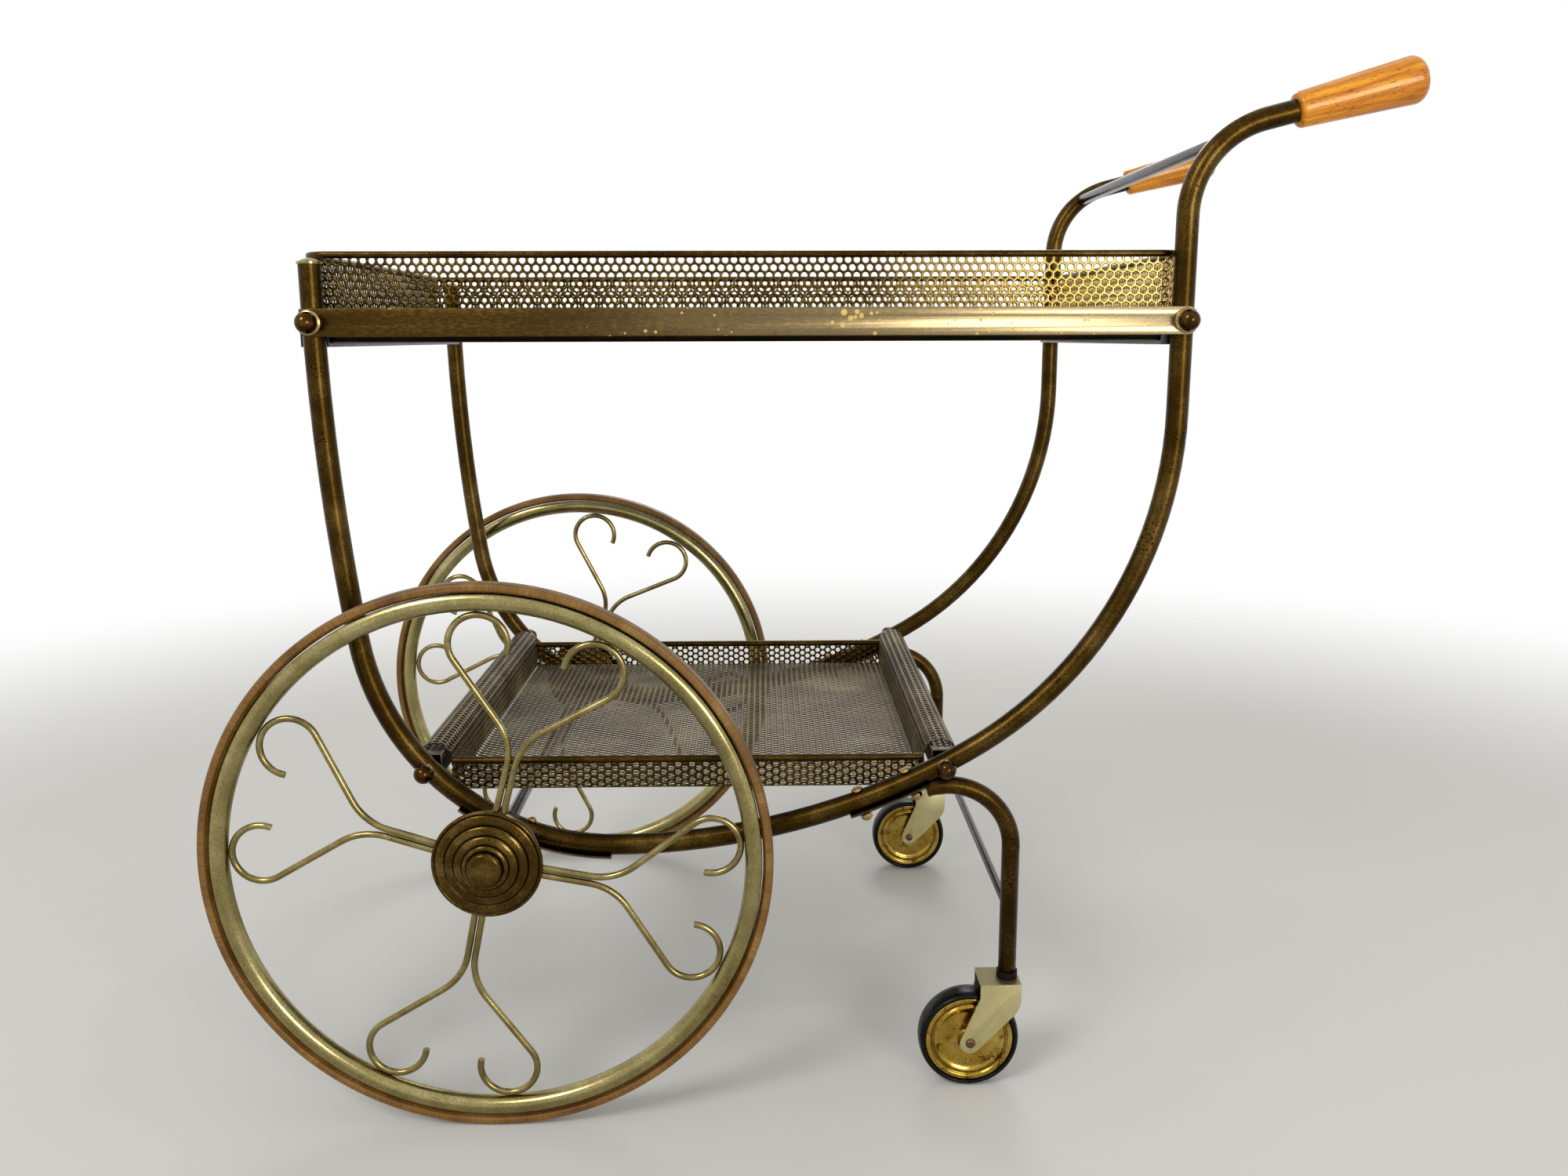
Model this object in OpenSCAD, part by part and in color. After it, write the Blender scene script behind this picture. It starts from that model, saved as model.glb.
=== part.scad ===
// Serving trolley. Two bent side tubes carry a perforated top tray and a perforated lower tray.
// Two large scroll wheels turn at the front and two swivel casters steer at the back.
// X runs from the large wheels to the handles, Y runs across, Z = 0 is the floor.
// The origin lies under the middle of the trolley. The left side is -Y.

/* [Side tubes] */
// Outside diameter of the bent side tubes and the handle tubes
tube_d = 16; // [15.5:0.1:16.5]
// Wall of the side tubes and the handle tubes
tube_wall = 1.5; // [1.2:0.1:2]
// Distance between the middle planes of the two sides
tube_span = 430; // [410:5:460]
// Drop from the axle of the large wheels to the lowest point of the side tube
hoop_drop = 6.5; // [5.5:0.1:6.8]
// From the axle of the large wheels to the lowest point of the side tube
hoop_low_reach = 89; // [88:0.2:90]
// Bend radius of the long front stretch
front_bend_r = 1760; // [1720:10:1800]
// Bend radius of the lower front corner
low_bend_r = 190; // [188:0.5:192]
// Bend radius of the rising stretch under the lower tray
rise_bend_r = 540; // [535:1:545]
// Bend radius of the upper rear corner
rear_bend_r = 300; // [296:1:304]
// Height of the front end of a side tube
front_end_z = 643; // [638:0.5:645]
// Height of the seam between side tube and handle tube
seam_z = 641; // [636:0.5:646]

/* [Handles] */
// Height at which a handle tube starts to bend
handle_bend_z = 675; // [670:1:680]
// Bend radius of a handle tube
handle_bend_r = 68; // [64:1:72]
// Upward slope of the grips in degrees
handle_slope = 14.2; // [11:0.2:17]
// Bare tube between the bend and the grip
handle_reach = 21.8; // [18:0.2:26]
// Length of a grip
grip_len = 90.5; // [86:0.5:96]
// Diameter of a grip at its inner end
grip_small_d = 25; // [24:0.5:27]
// Largest diameter of a grip
grip_big_d = 33; // [31:0.5:35]
// Depth of the tube in a grip
grip_depth = 70; // [60:1:74]
// Rod between the handle tubes
crossbar_d = 10; // [8:0.5:11]
// Place of that rod along the handle bend in degrees
crossbar_at = 52; // [46:1:58]

/* [Rails and top frame] */
// Height of the middle of the rails
rail_z = 602; // [600:0.5:604]
// Height of a rail
rail_h = 20; // [18:0.5:22]
// Thickness of a rail
rail_t = 2.5; // [2:0.5:3]
// Rail beyond the middle of its bolt
rail_end = 8; // [8:0.5:10]
// Corner radius of a rail
rail_corner_r = 7; // [5:0.5:8]
// Leg length of the cross angles
angle_w = 20; // [18:0.5:22]
// Thickness of the cross angles and their tabs
angle_t = 3; // [2:0.5:3]
// Height of the tabs at the ends of the cross angles
tab_h = 27; // [25:0.5:29]
// Diameter of the balls on the rail nuts
rail_ball_d = 15.6; // [15:0.2:17]
// Thread diameter of the rail bolts and the tie rods
bolt_d = 6; // [5:0.5:6]

/* [Top tray] */
// Height of the underside of the top tray
top_tray_z = 588; // [586:0.5:590]
// Height of the middle of its rim wire
top_rim_z = 650; // [648:0.5:655]
// Top tray in front of the large wheels' axle
top_front = 125.5; // [125:0.1:126]
// Top tray behind the rear end of the side tubes
top_rear = 4.1; // [3.8:0.1:4.4]
// Gap between the top tray and the tabs at each side
top_side_gap = 0.5; // [0.4:0.1:1.5]
// Thickness of the tray sheets
sheet_t = 1; // [0.8:0.1:1.2]
// Corner radius of the top tray
top_corner_r = 18; // [14:1:20]
// Rim wire of the top tray
top_rim_d = 5; // [4:0.5:5]
// Openings along the top tray, in its floor and its long sides
top_open_x = 12; // [8:2:12]
// Openings across the top tray, in its floor and its ends
top_open_y = 8; // [4:2:8]
// Sheet left between two openings of a tray
open_bar = 14; // [10:0.5:18]

/* [Lower tray] */
// Height of the underside of the lower tray
low_tray_z = 243.5; // [241:0.5:246]
// Width of the lower tray
low_tray_w = 388; // [380:1:394]
// Least gap between the lower tray and a side tube, which moves the sides apart if need be
low_tray_clear = 2; // [1.5:0.5:8]
// Height of the two square bars that carry the lower tray
bar_z = 268; // [267:0.2:269]
// Openings along the lower tray
low_open_x = 8; // [6:2:8]
// Openings across the lower tray
low_open_y = 8; // [6:2:8]
// Width of the square bars
bar_w = 17; // [16:0.1:17.2]
// Inside radius of the rolls over the square bars
roll_r = 12.5; // [12.5:0.1:13]
// Rim wire along the sides of the lower tray
low_rim_d = 6; // [5:0.5:6]
// Diameter of the balls on the tie rods
bar_ball_d = 15; // [14:0.2:16]

/* [Rear legs] */
// Behind the axle of the large wheels to the rear legs
leg_reach = 396.7; // [394:0.5:399]
// Diameter of the rear legs
leg_d = 14; // [13.5:0.1:14.4]
// Bend radius of the rear legs
leg_bend_r = 51; // [49:0.5:53]
// Length of the flattened end of a rear leg
leg_strip_len = 66.6; // [62:0.2:70]
// Thickness of the saddles and of the flattened ends of the legs
strip_t = 3; // [2.5:0.1:3]
// Rod between the rear legs
leg_rod_d = 7; // [6:0.5:8]
// Height of that rod
leg_rod_z = 146; // [145:0.5:150]
// Thread diameter of the leg screws
leg_screw_d = 5; // [4:0.5:5]

/* [Casters] */
// Diameter of a caster wheel
caster_d = 80; // [76:1:82]
// Width of a caster wheel
caster_w = 20; // [18:0.5:22]
// Trail of a caster wheel behind its swivel
caster_trail = 30; // [27:0.5:32]
// Height of the top of a caster fork
fork_z = 90; // [88:0.5:92]
// Thickness of the fork sheet
fork_t = 2; // [1.5:0.1:2.5]
// Diameter of the swivel pin
swivel_d = 9; // [8:0.5:9]
// Diameter of the caster wheel's pin
caster_pin_d = 6; // [5:0.5:6]
// Width of the caster tyre band
caster_tyre_t = 4.8; // [4:0.2:6]

/* [Large wheels] */
// Radius of a large wheel over its tyre
wheel_r = 211; // [208:0.5:214]
// From the middle plane of a side tube to that of its wheel
wheel_offset = 48; // [47.5:0.5:52]
// Width of the tyre
tyre_w = 14; // [12:0.5:15]
// Tyre outside the rim
tyre_band = 6.2; // [5:0.2:7]
// Diameter of the round rim
rim_d = 15; // [14:0.5:16]
// Wall of the rim
rim_wall = 1.5; // [1.2:0.1:1.8]
// Diameter of the scroll wire
wire_d = 5; // [4:0.5:5]
// Bend radius where a wire leaves its pair
wire_bend_r = 42; // [36:1:46]
// Radius of the loop at the end of a wire
loop_r = 21.5; // [19:0.5:23]
// Angle between a loop and the middle of its pair
loop_at = 14.9; // [13.5:0.1:16]
// Diameter of the large wheels' axle
axle_d = 10; // [9:0.5:10]
// Diameter of the wheel hub
hub_d = 32; // [30:0.5:34]
// Diameter of the flange behind the wires
flange_d = 76; // [70:1:78]
// Diameter of the hub cap
cap_d = 82; // [80:0.5:86]
// Depth of the hub cap
cap_h = 14.3; // [14:0.1:16]

/* [Hidden] */
$fn = 96;

// Clearances
seat = 0.2;
running = 0.06;
far = 400;
bead_h = 0.03;
bead_w = 0.6;

// Side tube: stretches joined at 8, 90, 120 and 180 degrees from straight down
front_turn = 8;
rise_turn = 120;
tube_r = tube_d / 2;
bore_r = tube_r - tube_wall;
side_y = max(tube_span, low_tray_w + 2 * low_tray_clear + tube_d) / 2;
axle_x = -230.3;
hoop_low_z = wheel_r - hoop_drop;
low_c = [axle_x + hoop_low_reach, hoop_low_z + low_bend_r];
rise_c = [low_c[0], hoop_low_z + rise_bend_r];
front_c = low_c + (front_bend_r - low_bend_r) * turned(front_turn);
rear_c = rise_c - (rise_bend_r - rear_bend_r) * turned(rise_turn);
front_x = front_c[0] - front_bend_r;
rear_x = rear_c[0] + rear_bend_r;
hole_slip = 0.2;

// Handles
handle_turn = 90 - handle_slope;
handle_c = [rear_x + handle_bend_r, handle_bend_z];
handle_dir = [cos(handle_slope), sin(handle_slope)];
handle_end = handle_c + handle_bend_r * [-handle_dir[1], handle_dir[0]];
grip_at = handle_end + handle_reach * handle_dir;
grip_nose_r = 8;
grip_lip_r = 3;
crossbar_p = handle_c + handle_bend_r * [-cos(crossbar_at), sin(crossbar_at)];
spigot_len = 30;
tenon = tube_wall + 1;

// Caps on the front tube ends
cap_lip = 0.9;
cap_lip_h = 1.6;
cap_dome_h = 2.6;
cap_dome_r = (pow(tube_r, 2) + pow(cap_dome_h, 2)) / (2 * cap_dome_h);
plug_len = 15;

// Rails, tabs and bolts, measured outwards from a side's middle plane
rail_in = tube_r + seat;
tab_out = tube_r + seat;
tab_in = tab_out + angle_t;
rail_bolt_x = [front_x, rear_x];
bolt_head_d = 2 * bolt_d - 1;
bolt_tip = rail_in + rail_t + 7;
nut_collar_d = 18;
nut_collar_h = 1.5;
thread_slip = 0.1;

// Top tray
tray_x0 = axle_x - top_front;
tray_x1 = rear_x + top_rear;
tray_y = side_y - tab_in - top_side_gap;
angle_top = top_tray_z;
top_open_edge = angle_w;
top_side_edge = 9;
web_gap = 0.6;
web_h = angle_w;

// Lower tray and its bars
front_bar_x = low_c[0] - sqrt(pow(low_bend_r, 2) - pow(low_c[1] - bar_z, 2));
rear_bar_x = rise_c[0] + sqrt(pow(rise_bend_r, 2) - pow(rise_c[1] - bar_z, 2));
bar_end_y = side_y - tube_r - seat;
bar_wall = 1.5;
roll_out = roll_r + sheet_t;
low_x0 = front_bar_x + roll_r;
low_x1 = rear_bar_x - roll_r;
low_tray_y = low_tray_w / 2;
low_rim_z = bar_z - 1.5;
low_open_edge = 10;
low_side_edge = 6;

// Saddles and flattened leg ends: troughs under the side tube
trough_in = tube_r + 0.3;
trough_out = trough_in + strip_t;
trough_low = 6.2;
saddle_from = 53;
saddle_to = 89;
saddle_screw_at = 69.3;
saddle_screw_d = 4;
lug_d = 18;
lug_out = trough_in + 1.3;
leg_x = axle_x + leg_reach;
leg_path_r = rise_bend_r + trough_in + strip_t;
leg_turn = asin((leg_x - leg_bend_r - rise_c[0]) / (leg_path_r + leg_bend_r));
leg_c = rise_c + (leg_path_r + leg_bend_r) * [sin(leg_turn), -cos(leg_turn)];
strip_turn = 180 / (PI * leg_path_r);
strip_lap = 10.6;
screw_edge_in = 11.5;
screw_edge_out = 13.5;
leg_strip_to = 90 + leg_turn + strip_lap * strip_turn;
leg_strip_from = leg_strip_to - leg_strip_len * strip_turn;
leg_screws_at = [leg_strip_from + screw_edge_in * strip_turn,
    leg_strip_to - screw_edge_out * strip_turn];
leg_clear_turn = 6.5;
trough_spare = 9;
leg_end_z = fork_z + 6.2;
leg_bore_z = leg_rod_z - leg_rod_d / 2 - 4;
head_h = 2.6;
nut_h = 4;

// Casters
fork_front = 23;
fork_back = 9.2;
fork_half = 15;
fork_front_drop = 12;
fork_back_drop = 21;
fork_nose_r = 8.3;
caster_r = caster_d / 2;
rivet_r = 4;
rivet_h = 1.6;
disc_gap = 0.5;
disc_r = caster_r - caster_tyre_t;
swivel_top = leg_bore_z - 2;

// Large wheels, in a frame whose Z axis points away from the trolley
wheel_y = side_y + wheel_offset;
rim_path_r = wheel_r - tyre_band - rim_d / 2;
wire_r = wire_d / 2;
wire_side = wire_r + 0.3;
wire_from = 17;
wire_fork = 76;
loop_c_r = rim_path_r - rim_d / 2 - wire_r - seat - loop_r;
loop_c = loop_c_r * [cos(loop_at), sin(loop_at)];
wire_bend_c = [wire_fork, wire_side + wire_bend_r];
wire_span = loop_c - wire_bend_c;
wire_turn = atan2(wire_span[1], wire_span[0]) + asin((wire_bend_r + loop_r) / norm(wire_span));
wire_link = sqrt(pow(norm(wire_span), 2) - pow(wire_bend_r + loop_r, 2));
loop_sweep = 185 + wire_turn;
left_pairs = [-11, 75, 162, 258];
right_pairs = [-21, 69, 159, 249];
bead_r = rim_d / 2 - rim_wall - 0.3;
rim_cut = 5.2;
neck_w = 5;
flange_t = 5;
flange_z = -wire_r - seat;
nose_r = 15;
nose_z = wire_r + 2.4;
bush_r = 8;
hub_back = flange_z - flange_t;
hub_in = -wheel_offset + lug_out + 3;
cap_z = wire_r + seat;
nut_w = 16;
axle_nut_h = 6;
washer_z = nose_z + running;
washer_t = 1.2;
axle_tip = washer_z + washer_t + axle_nut_h + 1.2;

function turned(t) = [cos(t), sin(t)];
function tangent_at(p, c, r, s) = c + r * turned(atan2(p[1] - c[1], p[0] - c[0])
    + s * acos(r / norm(p - c)));

// ---- Helpers ----

// A bend in the plane of a side, from angle a0 to a1 seen from the left
module bend(c, r, a0, a1, d) {
    translate([c[0], 0, c[1]])
        rotate([90, 0, 0])
            rotate([0, 0, a0])
                rotate_extrude(angle = a1 - a0)
                    translate([r, 0])
                        circle(d = d);
}

// A straight round bar in that plane
module run(p, q, d) {
    translate([p[0], 0, p[1]])
        rotate([0, atan2(q[0] - p[0], q[1] - p[1]), 0])
            cylinder(h = norm(q - p), d = d);
}

// A round bar across the trolley
module across(p, y0, y1, d) {
    translate([p[0], y0, p[1]])
        rotate([-90, 0, 0])
            cylinder(h = y1 - y0, d = d);
}

// Children at a bend angle of the side tube, Z pointing out of the bend
module on_bend(c, t) {
    translate([c[0], 0, c[1]])
        rotate([0, -90 - t, 0])
            children();
}

// Children built on the right side with Y outwards, moved to side s (-1 left, 1 right)
module at_side(s) {
    if (s > 0) {
        translate([0, side_y, 0]) children();
    } else {
        translate([0, -side_y, 0]) mirror([0, 1, 0]) children();
    }
}

// A fine weld bead round a joint between two stretches, at a bend angle
module bead(c, r, t, d) {
    on_bend(c, t)
        translate([0, 0, r])
            rotate([0, 90, 0])
                cylinder(h = bead_w, d = d + 2 * bead_h, center = true);
}

module both_sides() {
    at_side(-1) children();
    at_side(1) children();
}

// ---- Side tubes ----

module hoop_path(d, extra) {
    low_start = low_c - low_bend_r * turned(front_turn);
    front_start = [front_x, front_c[1]];
    rear_start = [rear_x, rear_c[1]];
    run(front_start, [front_x, front_end_z + extra], d);
    bend(front_c, front_bend_r, 180, 180 + front_turn, d);
    bend(low_c, low_bend_r, 180 + front_turn, 270, d);
    bend(rise_c, rise_bend_r, 270, 180 + rise_turn, d);
    bend(rear_c, rear_bend_r, 180 + rise_turn, 360, d);
    run(rear_start, [rear_x, seam_z + extra], d);
    bead(front_c, front_bend_r, 0, d);
    bead(low_c, low_bend_r, front_turn, d);
    bead(low_c, low_bend_r, 90, d);
    bead(rear_c, rear_bend_r, rise_turn, d);
    bead(rear_c, rear_bend_r, 180, d);
}

module screw_hole(c, r, t, d) {
    on_bend(c, t)
        translate([0, 0, r - trough_out - 5])
            cylinder(h = 2 * trough_out + 10, d = d + 2 * hole_slip);
}

module hoop() {
    color("#7d6134")
        difference() {
            hoop_path(tube_d, 0);
            hoop_path(2 * bore_r, 1);
            for (x = rail_bolt_x)
                across([x, rail_z], -tube_d, tube_d, bolt_d + 2 * hole_slip);
            for (x = [front_bar_x, rear_bar_x])
                across([x, bar_z], -tube_d, tube_d, bolt_d + 2 * hole_slip);
            screw_hole(low_c, low_bend_r, saddle_screw_at, saddle_screw_d);
            for (t = leg_screws_at)
                screw_hole(rise_c, rise_bend_r, t, leg_screw_d);
        }
}

module left_hoop() { at_side(-1) hoop(); }
module right_hoop() { at_side(1) hoop(); }

module end_cap() {
    color("#6b5330")
        translate([front_x, 0, front_end_z]) {
            translate([0, 0, -plug_len])
                cylinder(h = plug_len + cap_lip_h, r = bore_r - seat);
            cylinder(h = cap_lip_h, r = tube_r + cap_lip);
            intersection() {
                translate([0, 0, cap_lip_h + cap_dome_h - cap_dome_r])
                    sphere(r = cap_dome_r);
                cylinder(h = cap_lip_h + cap_dome_h + 1, r = tube_r + cap_lip);
            }
        }
}

module end_caps() { both_sides() end_cap(); }

// ---- Handles ----

module handle_path(z, len, d) {
    run([rear_x, z], [rear_x, handle_bend_z], d);
    bend(handle_c, handle_bend_r, 180 - handle_turn, 180, d);
    run(handle_end, handle_end + len * handle_dir, d);
    bead(handle_c, handle_bend_r, 0, d);
    bead(handle_c, handle_bend_r, -handle_turn, d);
}

module handle_tube() {
    len = handle_reach + grip_depth - seat;
    color("#7d6134")
        difference() {
            union() {
                handle_path(seam_z, len, tube_d);
                translate([rear_x, 0, seam_z - spigot_len])
                    cylinder(h = spigot_len + 1, r = bore_r - seat);
            }
            handle_path(seam_z + 4, len - 2, 2 * bore_r);
            across(crossbar_p, -tube_d, 0, crossbar_d + 2 * hole_slip);
        }
}

module left_handle_tube() { at_side(-1) handle_tube(); }
module right_handle_tube() { at_side(1) handle_tube(); }

module grip() {
    small_r = grip_small_d / 2;
    big_r = grip_big_d / 2;
    color("#b06a34")
        translate([grip_at[0], 0, grip_at[1]])
            rotate([0, 90 - handle_slope, 0])
                difference() {
                    rotate_extrude()
                        union() {
                            polygon([[0, 0], [small_r - grip_lip_r, 0], [small_r, grip_lip_r],
                                [big_r, grip_len - grip_nose_r], [big_r - grip_nose_r, grip_len],
                                [0, grip_len]]);
                            translate([small_r - grip_lip_r, grip_lip_r])
                                circle(r = grip_lip_r);
                            translate([big_r - grip_nose_r, grip_len - grip_nose_r])
                                circle(r = grip_nose_r);
                        }
                    translate([0, 0, -1])
                        cylinder(h = grip_depth + 1, r = tube_r + seat);
                }
}

module left_grip() { at_side(-1) grip(); }
module right_grip() { at_side(1) grip(); }

module handle_crossbar() {
    reach = side_y - tube_r + tenon;
    color("#8f9093")
        across(crossbar_p, -reach, reach, crossbar_d);
}

// ---- Rails, cross angles and their bolts ----

module rail() {
    x0 = front_x - rail_end;
    len = rear_x + rail_end - x0;
    color("#c9a24a")
        translate([x0, rail_in, rail_z - rail_h / 2])
            difference() {
                union() {
                    translate([rail_corner_r, 0, 0])
                        cube([len - 2 * rail_corner_r, rail_t, rail_h]);
                    translate([0, 0, rail_corner_r])
                        cube([len, rail_t, rail_h - 2 * rail_corner_r]);
                    for (x = [rail_corner_r, len - rail_corner_r])
                        for (z = [rail_corner_r, rail_h - rail_corner_r])
                            across([x, z], 0, rail_t, 2 * rail_corner_r);
                }
                for (x = rail_bolt_x)
                    across([x - x0, rail_h / 2], -1, rail_t + 1, bolt_d + 2 * hole_slip);
            }
}

module left_rail() { at_side(-1) rail(); }
module right_rail() { at_side(1) rail(); }

module bolt_head_cone(grow) {
    translate([0, -tab_in, 0])
        rotate([-90, 0, 0])
            cylinder(h = angle_t - 0.5, d1 = bolt_head_d + grow, d2 = bolt_d + grow);
}

// A cross angle whose web stands at x = 0 and whose flange points along +X
module cross_angle(bolt_at) {
    reach = side_y - tab_out;
    color("#3d3b39")
        difference() {
            union() {
                translate([0, -reach, angle_top - angle_t])
                    cube([angle_w, 2 * reach, angle_t]);
                translate([0, -reach, angle_top - angle_t])
                    cube([angle_t, 2 * reach, web_h]);
                for (y = [-reach, reach - angle_t])
                    translate([0, y, angle_top - angle_t])
                        cube([angle_w, angle_t, tab_h]);
            }
            both_sides() {
                across([bolt_at, rail_z], -tab_in - 1, 0, bolt_d + 2 * hole_slip);
                translate([bolt_at, 0, rail_z]) bolt_head_cone(2 * hole_slip);
            }
        }
}

module front_cross_angle() {
    web = tray_x0 - web_gap - angle_t;
    translate([web, 0, 0]) cross_angle(front_x - web);
}

module rear_cross_angle() {
    web = tray_x1 + web_gap + angle_t;
    translate([web, 0, 0]) mirror([1, 0, 0]) cross_angle(web - rear_x);
}

module rail_bolt(x) {
    color("#8f9093")
        translate([x, 0, rail_z])
            difference() {
                union() {
                    bolt_head_cone(0);
                    across([0, 0], -tab_in, bolt_tip, bolt_d);
                }
                translate([-bolt_head_d, -tab_in - 1, -0.6])
                    cube([2 * bolt_head_d, 1.9, 1.2]);
            }
}

module rail_bolts() {
    both_sides() for (x = rail_bolt_x) rail_bolt(x);
}

// A ball nut whose foot stands at y0
module ball_nut(x, z, y0, ball_d, collar_d) {
    sink = ball_d / 2 - 2.5;
    color("#9a7a3c")
        translate([x, y0, z])
            difference() {
                union() {
                    across([0, 0], 0, nut_collar_h, collar_d);
                    intersection() {
                        translate([0, sink, 0]) sphere(d = ball_d);
                        across([0, 0], 0, ball_d, collar_d + ball_d);
                    }
                }
                across([0, 0], -1, sink + 3, bolt_d + 2 * thread_slip);
            }
}

module rail_ball_nuts() {
    both_sides()
        for (x = rail_bolt_x)
            ball_nut(x, rail_z, rail_in + rail_t, rail_ball_d, nut_collar_d);
}

// ---- Top tray ----

module round_block(x0, x1, half_y, r, z0, h) {
    translate([x0 + r, -half_y, z0]) cube([x1 - x0 - 2 * r, 2 * half_y, h]);
    translate([x0, -half_y + r, z0]) cube([x1 - x0, 2 * half_y - 2 * r, h]);
    for (x = [x0 + r, x1 - r])
        for (y = [-half_y + r, half_y - r])
            translate([x, y, z0]) cylinder(h = h, r = r);
}

// Openings of a tray: n along X and m along Y in its floor, and one row of each in its sides
module tray_openings(x0, x1, half_y, n, m, edge, z, side_from, side_to) {
    step_x = (x1 - x0 - 2 * edge) / n;
    step_y = (2 * half_y - 2 * edge) / m;
    at_x = [for (i = [0 : n - 1]) x0 + edge + (i + 0.5) * step_x];
    at_y = [for (j = [0 : m - 1]) -half_y + edge + (j + 0.5) * step_y];
    side_h = side_to - side_from;
    side_z = (side_from + side_to) / 2;
    for (x = at_x) {
        for (y = at_y)
            translate([x, y, z])
                cube([step_x - open_bar, step_y - open_bar, 4 * sheet_t], center = true);
        translate([x, 0, side_z])
            cube([step_x - open_bar, 2 * half_y + 2, side_h], center = true);
    }
    for (y = at_y)
        translate([(x0 + x1) / 2, y, side_z])
            cube([x1 - x0 + 2, step_y - open_bar, side_h], center = true);
}

module top_tray() {
    color("#a9854a")
        difference() {
            round_block(tray_x0, tray_x1, tray_y, top_corner_r,
                top_tray_z, top_rim_z - seat - top_tray_z);
            round_block(tray_x0 + sheet_t, tray_x1 - sheet_t, tray_y - sheet_t,
                top_corner_r - sheet_t, top_tray_z + sheet_t, far);
            tray_openings(tray_x0, tray_x1, tray_y, top_open_x, top_open_y, top_open_edge,
                top_tray_z + sheet_t / 2, top_tray_z + sheet_t + top_side_edge,
                top_rim_z - top_rim_d / 2 - top_side_edge);
        }
}

module top_tray_rim() {
    r = top_corner_r - sheet_t / 2;
    x0 = tray_x0 + sheet_t / 2;
    x1 = tray_x1 - sheet_t / 2;
    y = tray_y - sheet_t / 2;
    slot = sheet_t / 2 + seat;
    color("#a9854a")
        translate([0, 0, top_rim_z])
            difference() {
                union() {
                    for (s = [-1, 1]) {
                        translate([x0 + r, s * y, 0])
                            rotate([0, 90, 0]) cylinder(h = x1 - x0 - 2 * r, d = top_rim_d);
                        across([s < 0 ? x0 : x1, 0], -y + r, y - r, top_rim_d);
                    }
                    for (c = [[x1 - r, y - r, 0], [x0 + r, y - r, 90],
                            [x0 + r, -y + r, 180], [x1 - r, -y + r, 270]])
                        translate([c[0], c[1], 0])
                            rotate([0, 0, c[2]])
                                rotate_extrude(angle = 90)
                                    translate([r, 0]) circle(d = top_rim_d);
                }
                difference() {
                    round_block(x0 - slot, x1 + slot, y + slot, r + slot, -top_rim_d, top_rim_d);
                    round_block(x0 + slot, x1 - slot, y - slot, r - slot, -far, 2 * far);
                }
            }
}

// ---- Lower tray and its bars ----

module lower_bar(x) {
    hole = bar_w - 2 * bar_wall;
    color("#5b5048")
        translate([x, 0, bar_z])
            difference() {
                translate([-bar_w / 2, -bar_end_y, -bar_w / 2])
                    cube([bar_w, 2 * bar_end_y, bar_w]);
                translate([-hole / 2, -bar_end_y - 1, -hole / 2])
                    cube([hole, 2 * bar_end_y + 2, hole]);
            }
}

module lower_front_bar() { lower_bar(front_bar_x); }
module lower_rear_bar() { lower_bar(rear_bar_x); }

module tie_rods() {
    reach = side_y + tube_r + seat + 7;
    color("#8f9093")
        for (x = [front_bar_x, rear_bar_x])
            across([x, bar_z], -reach, reach, bolt_d);
}

module bar_ball_nuts() {
    both_sides()
        for (x = [front_bar_x, rear_bar_x])
            ball_nut(x, bar_z, tube_r + seat, bar_ball_d, bar_ball_d - 2);
}

module roll(x) {
    difference() {
        across([x, bar_z], -low_tray_y, low_tray_y, 2 * roll_out);
        across([x, bar_z], -low_tray_y - 1, low_tray_y + 1, 2 * roll_r);
        translate([x - far / 2, -low_tray_y - 1, bar_z - far])
            cube([far, low_tray_w + 2, far - 1]);
    }
}

module lower_tray() {
    wall_h = bar_z - low_tray_z;
    len = low_x1 - low_x0;
    color("#8a7350")
        difference() {
            union() {
                translate([low_x0, -low_tray_y, low_tray_z])
                    cube([len, low_tray_w, sheet_t]);
                for (x = [low_x0, low_x1 - sheet_t])
                    translate([x, -low_tray_y, low_tray_z])
                        cube([sheet_t, low_tray_w, wall_h]);
                for (y = [-low_tray_y, low_tray_y - sheet_t])
                    translate([low_x0, y, low_tray_z])
                        cube([len, sheet_t, low_rim_z - seat - low_tray_z]);
                roll(front_bar_x);
                roll(rear_bar_x);
            }
            tray_openings(low_x0, low_x1, low_tray_y, low_open_x, low_open_y, low_open_edge,
                low_tray_z + sheet_t / 2, low_tray_z + low_side_edge, low_rim_z - low_side_edge);
        }
}

module lower_tray_rims() {
    x0 = low_x0 + sheet_t + seat;
    x1 = low_x1 - sheet_t - seat;
    slot = sheet_t + 2 * seat;
    color("#8a7350")
        for (s = [-1, 1])
            translate([x0, s * (low_tray_y - sheet_t / 2), low_rim_z])
                difference() {
                    rotate([0, 90, 0]) cylinder(h = x1 - x0, d = low_rim_d);
                    translate([-1, -slot / 2, -low_rim_d])
                        cube([x1 - x0 + 2, slot, low_rim_d]);
                }
}

// ---- Saddles, rear legs and their screws ----

// The outside of a trough, before the side tube's room is cut from it
module trough_body(c, r, t0, t1) {
    difference() {
        bend(c, r, 180 + t0, 180 + t1, 2 * trough_out);
        across(c, -far, far, 2 * (r + trough_low));
    }
}

module axle_saddle() {
    color("#5a4228")
        difference() {
            union() {
                trough_body(low_c, low_bend_r, saddle_from, saddle_to);
                across([axle_x, wheel_r], -lug_out, lug_out, lug_d);
            }
            bend(low_c, low_bend_r, 180 + saddle_from - trough_spare, 270, 2 * trough_in);
            across([axle_x, wheel_r], -far, far, axle_d + 2 * hole_slip);
            screw_hole(low_c, low_bend_r, saddle_screw_at, saddle_screw_d);
        }
}

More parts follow.
